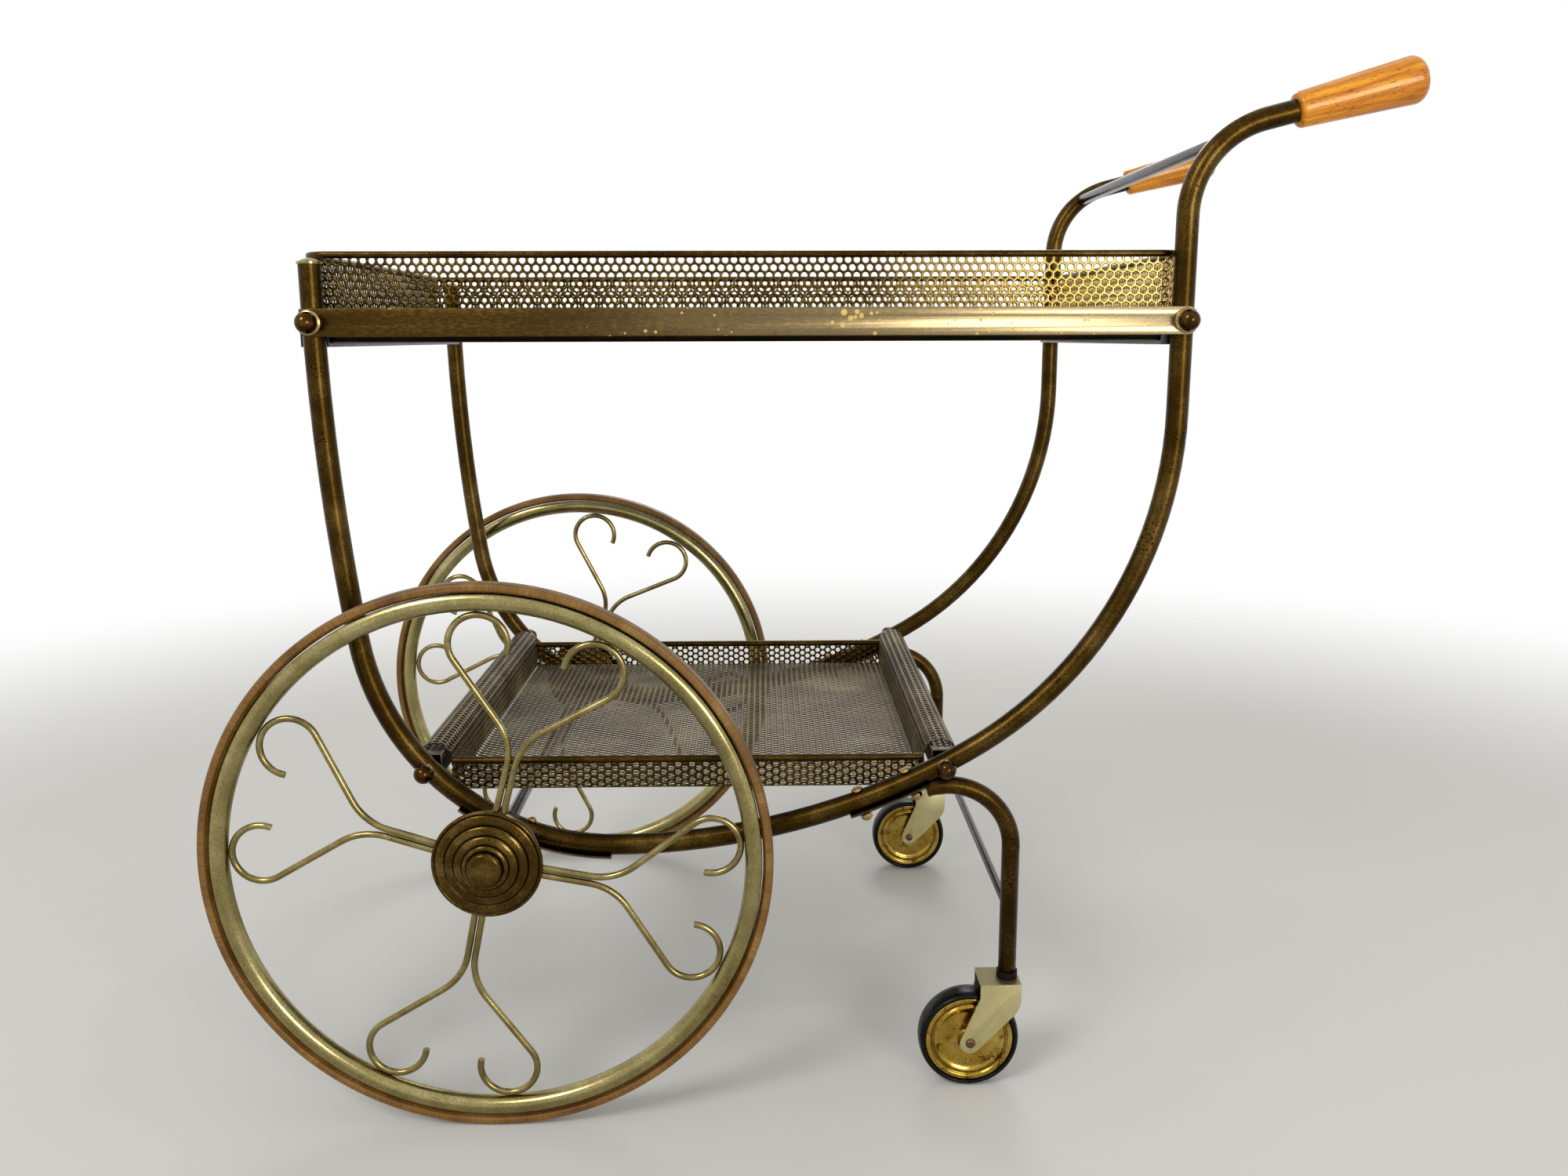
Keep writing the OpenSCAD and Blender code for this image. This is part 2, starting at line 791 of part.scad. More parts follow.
module left_axle_saddle() { at_side(-1) axle_saddle(); }
module right_axle_saddle() { at_side(1) axle_saddle(); }

// A screw through the side tube and a strip, with its head inside the bend
module tube_screw(c, r, t, d, head_d) {
    top = r - tube_r - seat;
    tip = r + trough_out + seat + nut_h + 1.5;
    color("#9b8a6a")
        on_bend(c, t)
            difference() {
                union() {
                    translate([0, 0, top]) cylinder(h = tip - top, d = d);
                    translate([0, 0, top - head_h / 2]) cylinder(h = head_h / 2, d = head_d);
                    translate([0, 0, top - head_h])
                        cylinder(h = head_h / 2, d1 = head_d * 0.6, d2 = head_d);
                }
                translate([-head_d, -0.5, top - head_h - 1])
                    cube([2 * head_d, 1, 2]);
            }
}

module tube_nut(c, r, t, d, w) {
    color("#8d8578")
        on_bend(c, t)
            translate([0, 0, r + trough_out + seat])
                difference() {
                    cylinder(h = nut_h, d = w / cos(30), $fn = 6);
                    translate([0, 0, -1])
                        cylinder(h = nut_h + 2, d = d + 2 * thread_slip);
                }
}

module saddle_screws() {
    both_sides() tube_screw(low_c, low_bend_r, saddle_screw_at, saddle_screw_d, 6.6);
}

module saddle_nuts() {
    both_sides() tube_nut(low_c, low_bend_r, saddle_screw_at, saddle_screw_d, 7);
}

module leg_screws() {
    both_sides()
        for (t = leg_screws_at)
            tube_screw(rise_c, rise_bend_r, t, leg_screw_d, 9);
}

module leg_nuts() {
    both_sides()
        for (t = leg_screws_at)
            tube_nut(rise_c, rise_bend_r, t, leg_screw_d, 8);
}

module leg() {
    color("#7d6134")
        difference() {
            union() {
                trough_body(rise_c, rise_bend_r, leg_strip_from, leg_strip_to);
                bend(leg_c, leg_bend_r, 0, 90 + leg_turn - leg_clear_turn, leg_d);
                run([leg_x, leg_end_z], [leg_x, leg_c[1]], leg_d);
                bead(leg_c, leg_bend_r, -180, leg_d);
            }
            bend(rise_c, rise_bend_r, 180 + leg_strip_from - trough_spare, 180 + rise_turn,
                2 * trough_in);
            run([leg_x, leg_end_z - 1], [leg_x, leg_bore_z], swivel_d + 2 * running);
            across([leg_x, leg_rod_z], -leg_d, 0, leg_rod_d + 2 * hole_slip);
            for (t = leg_screws_at)
                screw_hole(rise_c, rise_bend_r, t, leg_screw_d);
        }
}

module left_leg() { at_side(-1) leg(); }
module right_leg() { at_side(1) leg(); }

module leg_cross_rod() {
    reach = side_y - seat;
    color("#3d3b39")
        across([leg_x, leg_rod_z], -reach, reach, leg_rod_d);
}

// ---- Casters ----

module caster_place(s) {
    translate([leg_x, s * side_y, 0]) children();
}

module caster_stem() {
    color("#8f9093") {
        translate([0, 0, fork_z - fork_t - 2.2])
            cylinder(h = 2.2 - seat, d1 = 12, d2 = 15);
        translate([0, 0, fork_z - fork_t - 2])
            cylinder(h = swivel_top - fork_z + fork_t + 2, d = swivel_d);
    }
}

module caster_seal() {
    color("#1d1c1b")
        translate([0, 0, fork_z + seat])
            difference() {
                cylinder(h = leg_end_z - fork_z - 2 * seat, d = leg_d + 2.5);
                translate([0, 0, -1])
                    cylinder(h = leg_end_z, d = swivel_d + 2 * seat);
            }
}

module fork_arm() {
    axle = [-caster_trail, caster_r];
    front = [-fork_front, fork_z - fork_front_drop];
    back = [fork_back, fork_z - fork_back_drop];
    rotate([90, 0, 0])
        linear_extrude(fork_t) {
            polygon([[-fork_front, fork_z], front, tangent_at(front, axle, fork_nose_r, 1),
                axle, tangent_at(back, axle, fork_nose_r, -1), back, [fork_back, fork_z]]);
            translate(axle) circle(r = fork_nose_r);
        }
}

module caster_fork() {
    color("#cfc0a4")
        difference() {
            union() {
                translate([-fork_front, -fork_half, fork_z - fork_t])
                    cube([fork_front + fork_back, 2 * fork_half, fork_t]);
                for (y = [-fork_half + fork_t, fork_half])
                    translate([0, y, 0]) fork_arm();
            }
            translate([0, 0, fork_z - fork_t - 1])
                cylinder(h = fork_t + 2, d = swivel_d + 2 * hole_slip);
            across([-caster_trail, caster_r], -far, far, caster_pin_d + 2 * hole_slip);
        }
}

module caster_pin() {
    head_y = fork_half + seat;
    color("#8a6a58") {
        across([-caster_trail, caster_r], -head_y - rivet_h / 2, head_y + rivet_h / 2, caster_pin_d);
        for (s = [-1, 1])
            translate([-caster_trail, s * head_y, caster_r])
                rotate([-90 * s, 0, 0])
                    cylinder(h = rivet_h, r1 = rivet_r, r2 = rivet_r * 0.7);
    }
}

module caster_disc() {
    boss_y = fork_half - fork_t - disc_gap;
    face_y = caster_w / 2 - 1;
    color("#a98a3e")
        difference() {
            union() {
                across([0, caster_r], -face_y, face_y, 2 * disc_r);
                across([0, caster_r], -boss_y, boss_y, 16);
            }
            for (s = [-1, 1])
                translate([0, s * face_y, caster_r])
                    rotate([-90 * s, 0, 0])
                        translate([0, 0, -1.6])
                            difference() {
                                cylinder(h = 3, r = disc_r * 0.86);
                                translate([0, 0, -1]) cylinder(h = 5, r = disc_r * 0.78);
                            }
            across([0, caster_r], -far, far, caster_pin_d + 2 * running);
        }
}

module caster_tyre() {
    edge = 2;
    color("#161616")
        translate([0, 0, caster_r])
            rotate([90, 0, 0])
                difference() {
                    rotate_extrude()
                        union() {
                            translate([0, -caster_w / 2 + edge])
                                square([caster_r, caster_w - 2 * edge]);
                            translate([0, -caster_w / 2])
                                square([caster_r - edge, caster_w]);
                            for (z = [-caster_w / 2 + edge, caster_w / 2 - edge])
                                translate([caster_r - edge, z]) circle(r = edge);
                        }
                    cylinder(h = 2 * caster_w, r = disc_r + seat, center = true);
                }
}

module caster_wheel_place(s) {
    caster_place(s) translate([-caster_trail, 0, 0]) children();
}

module left_caster_stem() { caster_place(-1) caster_stem(); }
module right_caster_stem() { caster_place(1) caster_stem(); }
module left_caster_seal() { caster_place(-1) caster_seal(); }
module right_caster_seal() { caster_place(1) caster_seal(); }
module left_caster_fork() { caster_place(-1) caster_fork(); }
module right_caster_fork() { caster_place(1) caster_fork(); }
module left_caster_pin() { caster_place(-1) caster_pin(); }
module right_caster_pin() { caster_place(1) caster_pin(); }
module left_caster_disc() { caster_wheel_place(-1) caster_disc(); }
module right_caster_disc() { caster_wheel_place(1) caster_disc(); }
module left_caster_tyre() { caster_wheel_place(-1) caster_tyre(); }
module right_caster_tyre() { caster_wheel_place(1) caster_tyre(); }

// ---- Axle ----

module axle() {
    reach = wheel_y + axle_tip;
    color("#a9a7a2")
        across([axle_x, wheel_r], -reach, reach, axle_d);
}

// Thrust washers between saddle and hub, and plain washers under the nuts
module axle_washers() {
    gap = wheel_offset + hub_in - lug_out;
    color("#8f9093")
        both_sides()
            for (w = [[lug_out + seat, gap - seat - running * 4, axle_d + 9],
                    [wheel_offset + washer_z, washer_t - seat, 2 * nose_r - 10]])
                difference() {
                    across([axle_x, wheel_r], w[0], w[0] + w[1], w[2]);
                    across([axle_x, wheel_r], -far, far, axle_d + 2 * thread_slip);
                }
}

module axle_nuts() {
    y = wheel_offset + washer_z + washer_t;
    color("#8f9093")
        both_sides()
            translate([axle_x, y, wheel_r])
                rotate([-90, 0, 0])
                    difference() {
                        cylinder(h = axle_nut_h, d = nut_w / cos(30), $fn = 6);
                        translate([0, 0, -1])
                            cylinder(h = axle_nut_h + 2, d = axle_d + 2 * thread_slip);
                    }
}

// ---- Large wheels, Z outwards ----

module wheel_place(s) {
    translate([axle_x, s * wheel_y, wheel_r])
        rotate([-90 * s, 0, 0]) children();
}

module ring(r, d) {
    rotate_extrude() translate([r, 0]) circle(d = d);
}

module wheel_rim() {
    color("#c0a25c")
        difference() {
            ring(rim_path_r, rim_d);
            ring(rim_path_r, rim_d - 2 * rim_wall);
            difference() {
                cylinder(h = rim_d, r = wheel_r, center = true);
                cylinder(h = 2 * rim_d, r = rim_path_r + rim_cut, center = true);
            }
        }
}

module wheel_tyre() {
    edge = 1.6;
    in_r = rim_path_r + 3.4;
    color("#7a4a30") {
        difference() {
            rotate_extrude()
                union() {
                    translate([in_r, -tyre_w / 2])
                        square([wheel_r - edge - in_r, tyre_w]);
                    translate([in_r, -tyre_w / 2 + edge])
                        square([wheel_r - in_r, tyre_w - 2 * edge]);
                    for (z = [-tyre_w / 2 + edge, tyre_w / 2 - edge])
                        translate([wheel_r - edge, z]) circle(r = edge);
                }
            ring(rim_path_r, rim_d + 2 * seat);
        }
        ring(rim_path_r, 2 * bead_r);
        difference() {
            cylinder(h = neck_w, r = wheel_r - tyre_band + 1, center = true);
            cylinder(h = 2 * neck_w, r = rim_path_r, center = true);
        }
    }
}

module wire_bead() {
    rotate([0, 90, 0]) cylinder(h = bead_w, d = wire_d + 2 * bead_h, center = true);
}

// One wire of a pair: hub, bend away from its partner, then a loop against the rim
module scroll_wire() {
    translate([wire_from, wire_side, 0])
        rotate([0, 90, 0]) cylinder(h = wire_fork - wire_from, d = wire_d);
    translate([wire_fork, wire_side, 0]) {
        wire_bead();
        translate([0, wire_bend_r, 0])
            rotate([0, 0, -90])
                rotate_extrude(angle = wire_turn)
                    translate([wire_bend_r, 0]) circle(d = wire_d);
        translate([wire_bend_r * sin(wire_turn), wire_bend_r * (1 - cos(wire_turn)), 0])
            rotate([0, 0, wire_turn]) {
                rotate([0, 90, 0]) cylinder(h = wire_link, d = wire_d);
                wire_bead();
                translate([wire_link, 0, 0]) wire_bead();
                translate([wire_link, -loop_r, 0])
                    rotate([0, 0, 90 - loop_sweep])
                        rotate_extrude(angle = loop_sweep)
                            translate([loop_r, 0]) circle(d = wire_d);
            }
    }
}

module wheel_scrolls(pairs, flip) {
    color("#b08f4c")
        for (a = pairs)
            rotate([0, 0, flip * a]) {
                scroll_wire();
                mirror([0, 1, 0]) scroll_wire();
            }
}

module wheel_hub() {
    color("#6b5330")
        difference() {
            union() {
                translate([0, 0, hub_in]) cylinder(h = hub_back - hub_in + 1, d = hub_d);
                translate([0, 0, hub_back]) cylinder(h = flange_t, d = flange_d);
                translate([0, 0, hub_back]) cylinder(h = nose_z - hub_back, r = nose_r);
            }
            cylinder(h = far, r = bush_r, center = true);
        }
}

module hub_bush() {
    color("#9a7a3c")
        difference() {
            translate([0, 0, hub_in]) cylinder(h = nose_z - hub_in, r = bush_r - running);
            cylinder(h = far, r = axle_d / 2 + running, center = true);
        }
}

module hub_cap() {
    pocket_r = nut_w / sqrt(3) + 1.3;
    pocket_z = axle_tip + 0.8;
    steps = [[1, 0.18], [0.893, 0.31], [0.737, 0.45], [0.58, 0.58], [0.468, 0.7],
        [0.341, 0.94], [0.283, 1]];
    color("#8a6c36")
        difference() {
            union() {
                for (k = steps)
                    translate([0, 0, cap_z]) cylinder(h = cap_h * k[1], d = cap_d * k[0]);
            }
            translate([0, 0, -1]) cylinder(h = nose_z + seat + 1, r = nose_r + seat);
            cylinder(h = pocket_z, r = pocket_r);
        }
}

module left_wheel_tyre() { wheel_place(-1) wheel_tyre(); }
module right_wheel_tyre() { wheel_place(1) wheel_tyre(); }
module left_wheel_rim() { wheel_place(-1) wheel_rim(); }
module right_wheel_rim() { wheel_place(1) wheel_rim(); }
module left_wheel_scrolls() { wheel_place(-1) wheel_scrolls(left_pairs, 1); }
module right_wheel_scrolls() { wheel_place(1) wheel_scrolls(right_pairs, -1); }
module left_wheel_hub() { wheel_place(-1) wheel_hub(); }
module right_wheel_hub() { wheel_place(1) wheel_hub(); }
module left_hub_bush() { wheel_place(-1) hub_bush(); }
module right_hub_bush() { wheel_place(1) hub_bush(); }
module left_hub_cap() { wheel_place(-1) hub_cap(); }
module right_hub_cap() { wheel_place(1) hub_cap(); }

left_hoop();
right_hoop();
end_caps();
left_handle_tube();
right_handle_tube();
left_grip();
right_grip();
handle_crossbar();
left_rail();
right_rail();
front_cross_angle();
rear_cross_angle();
rail_bolts();
rail_ball_nuts();
top_tray();
top_tray_rim();
lower_front_bar();
lower_rear_bar();
tie_rods();
bar_ball_nuts();
lower_tray();
lower_tray_rims();
left_leg();
right_leg();
leg_screws();
leg_nuts();
leg_cross_rod();
axle();
left_axle_saddle();
right_axle_saddle();
saddle_screws();
saddle_nuts();
axle_washers();
axle_nuts();
left_wheel_tyre();
left_wheel_rim();
left_wheel_scrolls();
left_wheel_hub();
left_hub_bush();
left_hub_cap();
right_wheel_tyre();
right_wheel_rim();
right_wheel_scrolls();
right_wheel_hub();
right_hub_bush();
right_hub_cap();
left_caster_stem();
left_caster_seal();
left_caster_fork();
left_caster_pin();
left_caster_disc();
left_caster_tyre();
right_caster_stem();
right_caster_seal();
right_caster_fork();
right_caster_pin();
right_caster_disc();
right_caster_tyre();
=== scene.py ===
import bmesh, bpy, math
from mathutils import Matrix, Vector


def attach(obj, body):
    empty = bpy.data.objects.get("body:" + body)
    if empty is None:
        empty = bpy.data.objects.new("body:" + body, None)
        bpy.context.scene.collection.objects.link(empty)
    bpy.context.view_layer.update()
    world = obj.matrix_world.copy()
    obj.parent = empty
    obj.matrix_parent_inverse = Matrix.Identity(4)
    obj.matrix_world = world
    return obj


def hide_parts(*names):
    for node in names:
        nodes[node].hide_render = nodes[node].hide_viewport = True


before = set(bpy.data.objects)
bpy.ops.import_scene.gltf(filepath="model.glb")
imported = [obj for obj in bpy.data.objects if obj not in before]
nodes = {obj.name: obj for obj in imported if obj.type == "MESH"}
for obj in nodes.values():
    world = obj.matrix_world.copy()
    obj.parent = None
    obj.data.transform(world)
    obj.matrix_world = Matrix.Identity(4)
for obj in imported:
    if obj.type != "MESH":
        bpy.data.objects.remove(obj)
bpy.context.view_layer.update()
sides = {"left": -1, "right": 1}   # which way along Y each side lies: left is the photograph's near side
print("frame loaded:", len(nodes), "nodes")

# The camera was fitted to the photograph. Place in m, angles in radians, looking along +Y.
photoCamera = {
    "place": (-0.02675, -1.16276, 0.59055),
    "pitch": 0.1917, "roll": -0.0031, "yaw": 0.0174,
    "focalPixels": 1644.3, "frameWidth": 2000, "sensorMm": 36,
    "clip": (0.01, 50),
}


def photoView():
    cam = bpy.data.cameras.new("photoCamera")
    cam.sensor_width = photoCamera["sensorMm"]
    cam.lens = photoCamera["focalPixels"] / photoCamera["frameWidth"] * cam.sensor_width
    cam.clip_start, cam.clip_end = photoCamera["clip"]
    pitch, roll, yaw = (photoCamera[k] for k in ("pitch", "roll", "yaw"))
    forward = Vector((math.sin(yaw) * math.cos(pitch), math.cos(yaw) * math.cos(pitch), -math.sin(pitch)))
    level = Vector((math.cos(yaw), -math.sin(yaw), 0))
    over = level.cross(forward)
    right = level * math.cos(roll) + over * math.sin(roll)
    up = over * math.cos(roll) - level * math.sin(roll)
    turn = Matrix((right, up, -forward)).transposed().to_4x4()
    eye = bpy.data.objects.new("photoCamera", cam)
    eye.matrix_world = Matrix.Translation(photoCamera["place"]) @ turn
    bpy.context.scene.collection.objects.link(eye)
    bpy.context.scene.camera = eye


photoView()
print("camera placed")

# Where the wheels turn, in m: a point of each axle line, and how far out along Y the wheel's middle plane is.
wheel = {"axle": (-0.2303, 0, 0.211), "middle": 0.263}
caster = {"axle": (0.1364, 0, 0.040), "middle": 0.215}


def centreOf(place, way, out=0):   # middle of one of a pair of wheels, or a point further out on its axle
    x, _, z = place["axle"]
    return (x, way * (place["middle"] + out), z)


def linear(hexColour):   # an sRGB hex value as the linear colour that sockets take
    parts = [int(hexColour[k:k + 2], 16) / 255 for k in (1, 3, 5)]
    return [c / 12.92 if c < 0.04045 else ((c + 0.055) / 1.055) ** 2.4 for c in parts] + [1]


def add(tree, kind, inputs=None, stops=(), **settings):   # one node with its settings and links
    made = tree.nodes.new("ShaderNode" + kind)
    for name, value in settings.items():
        setattr(made, name, value)
    for place, colour in stops:
        ends = made.color_ramp.elements
        stop = ends[0] if place == stops[0][0] else ends[-1] if place == stops[-1][0] else ends.new(place)
        stop.position = place
        stop.color = linear(colour)
    for name, value in (inputs or {}).items():
        if isinstance(value, bpy.types.NodeSocket):
            tree.links.new(value, made.inputs[name])
        else:
            made.inputs[name].default_value = value
    return made


def newMaterial(name):
    made = bpy.data.materials.new(name)
    made.use_nodes = True
    made.node_tree.nodes.clear()
    return made, made.node_tree


def closeMaterial(tree, inputs):
    shader = add(tree, "BsdfPrincipled", inputs)
    add(tree, "OutputMaterial", {"Surface": shader.outputs["BSDF"]})


# The metals. Patterns (cloud, grain, pits) are in cycles a metre, so 1000 / size in mm. The real grain is
# finer and is drawn about 1 mm wide, so that it shows. bareFrom and bareTo are places along X in m
# between which a painted reflection grows to full, and grooves are radii in m round the axle.
agedFinishes = {
    # drawn brass tube, browned in a bath and lacquered: deep olive brown with long soft lights
    "brownedBrassTube": dict(dark="#1f1304", mid="#3b2a0c", worn="#6b552b", pit="#0e0601",
                             cloud=26, grain=900, pits=330, pitSize=0.3, rough=(0.26, 0.36), bump=0.015),
    # cast brass ball nuts, browned: darker and glossier, so that they show small sharp lights
    "brownedBrassBall": dict(dark="#1c1104", mid="#38250c", worn="#6b4f26", pit="#120802",
                             cloud=90, grain=1100, pits=260, pitSize=0.12, rough=(0.08, 0.18), bump=0.06),
    # flat rolled brass rails: faint lines from the rolls, golden nicks through the brown, and a painted
    # reflection that lightens them towards the handle end
    "rolledBrassRail": dict(dark="#2f210a", mid="#463312", worn="#775f31", pit="#c9ac66",
                            cloud=14, grain=700, pits=150, pitSize=0.36, rough=(0.2, 0.32), bump=0.05,
                            stretch=(0.3, 1, 1), bare="#a3906a", bareFrom=-0.24, bareTo=0.3),
    # pierced brass sheet of the top tray's walls: olive brown, painted gold towards the handle end as a painted
    # reflection
    "piercedBrassSheet": dict(dark="#211606", mid="#43320f", worn="#7c642f", pit="#140c03",
                              cloud=22, grain=700, pits=190, pitSize=0.14, rough=(0.2, 0.34), bump=0.06,
                              bare="#c9a95a", bareFrom=0.02, bareTo=0.26),
    # the same sheet without the painted reflection, on the top tray's floor and the lower tray's sides
    "lacqueredBrassSheet": dict(dark="#211606", mid="#43320f", worn="#7c642f", pit="#140c03",
                                cloud=22, grain=700, pits=190, pitSize=0.14, rough=(0.2, 0.34), bump=0.06),
    # plain fold at the foot of the top tray's walls: painted nearly black as painted shade, and dull
    "paintedShadeFold": dict(dark="#0d0904", mid="#171008", worn="#2e2110", pit="#060402",
                            cloud=22, grain=700, pits=190, pitSize=0.14, rough=(0.34, 0.5), bump=0.08),
    # the lower tray's long sheet, which lies open to dust: greyer brown, with broad dull clouds
    "dustyBrassSheet": dict(dark="#302717", mid="#56492f", worn="#8f8260", pit="#1a130a",
                            cloud=16, grain=700, pits=190, pitSize=0.14, rough=(0.26, 0.42), bump=0.08),
    # spun brass hub caps: dull brown, darker in the turned grooves, partly grime and partly painted shade
    "spunBrassCap": dict(dark="#2c1f09", mid="#4b3815", worn="#8a7140", pit="#1a0e05",
                         cloud=40, grain=800, pits=200, pitSize=0.16, rough=(0.16, 0.27), bump=0.04,
                         shadeAndGrime="#221505", axle=wheel["axle"],
                         grooves=(0.0137, 0.0177, 0.0242, 0.0311, 0.0386)),
    # polished brass rim, lacquer gone thin: pale olive straw with faint brown clouds
    "strawBrassRim": dict(dark="#62552e", mid="#948859", worn="#c4b988", pit="#4a3a1c",
                          cloud=20, grain=900, pits=190, pitSize=0.14, rough=(0.17, 0.24), bump=0.015),
    # drawn brass wire of the scrolls: pale straw, a little darker than the rim
    "drawnBrassWire": dict(dark="#5b4d2a", mid="#857749", worn="#b5a877", pit="#3b2c12",
                           cloud=45, grain=900, pits=200, pitSize=0.14, rough=(0.16, 0.25), bump=0.02),
    # brass plated pressed discs: gold, with brown rust pits through the plating, and darker in their grooves,
    # partly grime and partly painted shade
    "platedBrassDisc": dict(dark="#7a5d20", mid="#b08f3c", worn="#d8bd70", pit="#3a2308",
                            cloud=60, grain=900, pits=1300, pitSize=0.62, rough=(0.1, 0.24), bump=0.08,
                            shadeAndGrime="#54390f", axle=caster["axle"], grooves=(0.0297, 0.0088)),
    # turned bronze bushes: warm mid brown with an even, fine grain
    "turnedBronze": dict(dark="#5c4320", mid="#8a6a36", worn="#ab8a50", pit="#3a260e",
                         cloud=80, grain=900, pits=200, pitSize=0.1, rough=(0.24, 0.36), bump=0.05),
    # nickel plated pressed steel forks: warm champagne, with dust on their flat tops
    "champagneNickel": dict(dark="#b3a876", mid="#c9bd8b", worn="#d9cf9f", pit="#5a4d30",
                            cloud=30, grain=900, pits=150, pitSize=0.1, rough=(0.26, 0.36), bump=0.04,
                            dust="#5f5539"),
    # nickel plated small screws, nuts and rings: yellowed, with crisp small lights
    "nickelScrew": dict(dark="#6f5a36", mid="#9c8050", worn="#c4ab78", pit="#33240f",
                        cloud=120, grain=1200, pits=260, pitSize=0.14, rough=(0.14, 0.26), bump=0.06),
    # bare bright steel of bolts, tie rods and axle: neutral grey with sharp lights
    "brightSteel": dict(dark="#4a494d", mid="#6b6a70", worn="#918f95", pit="#2d2a29",
                        cloud=30, grain=900, pits=200, pitSize=0.12, rough=(0.16, 0.28), bump=0.05),
    # drawn steel rods between handles and legs, plating dulled: dark brownish grey, still glossy
    "dulledSteelRod": dict(dark="#1c1918", mid="#302c2a", worn="#5c5654", pit="#151211",
                           cloud=30, grain=900, pits=200, pitSize=0.12, rough=(0.14, 0.26), bump=0.05),
    # mill finish steel angles: dark grey with oil, and dull
    "darkSteel": dict(dark="#26262a", mid="#3f4044", worn="#65666b", pit="#171412",
                      cloud=35, grain=800, pits=150, pitSize=0.14, rough=(0.24, 0.4), bump=0.08),
    # drawn steel bars under the lower tray: brownish grey, and dull
    "barSteel": dict(dark="#3a3126", mid="#564b3c", worn="#837663", pit="#1e1812",
                     cloud=40, grain=800, pits=150, pitSize=0.14, rough=(0.26, 0.4), bump=0.08),
    # bent brass strip of the saddles, browned: a reddish tone
    "redBrownStrip": dict(dark="#35200f", mid="#54361c", worn="#8a6436", pit="#1a0d05",
                          cloud=60, grain=900, pits=200, pitSize=0.14, rough=(0.2, 0.34), bump=0.08),
    # copper rivets of the caster wheels: dull reddish brown
    "copperRivet": dict(dark="#4c3428", mid="#73543f", worn="#a08066", pit="#2a1a12",
                        cloud=200, grain=1200, pits=300, pitSize=0.14, rough=(0.24, 0.36), bump=0.06),
}
agedPattern = {   # what all the metals share
    "grainShare": 0.4, "stops": (0.3, 0.5, 0.72),      # grain's part of the tone; tones of dark, mid and worn
    "cloudNoise": (6, 0.62), "grainNoise": (3, 0.6),   # detail and roughness of each noise
    "grainRange": (0.3, 0.7),                          # grain over which the gloss goes from high to low
    "ragged": 0.12, "bareMost": 0.9,                   # m by which clouds move the edge of the painted reflection; its cover
    "grooveHalf": 0.0012, "shadeAndGrimeMost": 0.7,            # half width of a groove's grime and painted shade in m; its cover
    "patch": 1.7, "patchDetail": 2,                    # pits come in patches, 1.7 times as fine as the clouds
    "patchRange": (0.42, 0.7), "pitEdge": 0.05,        # from no pits to full size; how soft a pit's edge is
    "pitRough": 0.4,                                   # roughness that a pit adds
    "dustSlope": (0.75, 0.95),                         # upward part of a face's normal, from no dust to most
    "dustMost": 0.8, "dustRough": 0.3,                 # cover of the dust, and roughness that it adds
    "relief": 0.0004,                                  # m, height of the bump at full strength
}


def grooveShadeAndGrime(tree, place, look):   # grime and painted shade: strongest in the turned grooves, 0 between them
    middle = [-c for c in look["axle"]]
    centred = add(tree, "Mapping", {"Vector": place, "Location": middle, "Scale": (1, 0, 1)})
    radius = add(tree, "VectorMath", {0: centred.outputs["Vector"]}, operation="LENGTH").outputs["Value"]
    shadeAndGrime = 0
    for groove in look["grooves"]:
        off = add(tree, "Math", {0: radius, 1: groove}, operation="SUBTRACT").outputs["Value"]
        off = add(tree, "Math", {0: off}, operation="ABSOLUTE").outputs["Value"]
        deep = add(tree, "MapRange", {"Value": off, "From Max": agedPattern["grooveHalf"],
                                      "To Min": agedPattern["shadeAndGrimeMost"], "To Max": 0},
                   interpolation_type="SMOOTHSTEP").outputs["Result"]
        shadeAndGrime = add(tree, "Math", {0: shadeAndGrime, 1: deep}, operation="MAXIMUM").outputs["Value"]
    return shadeAndGrime


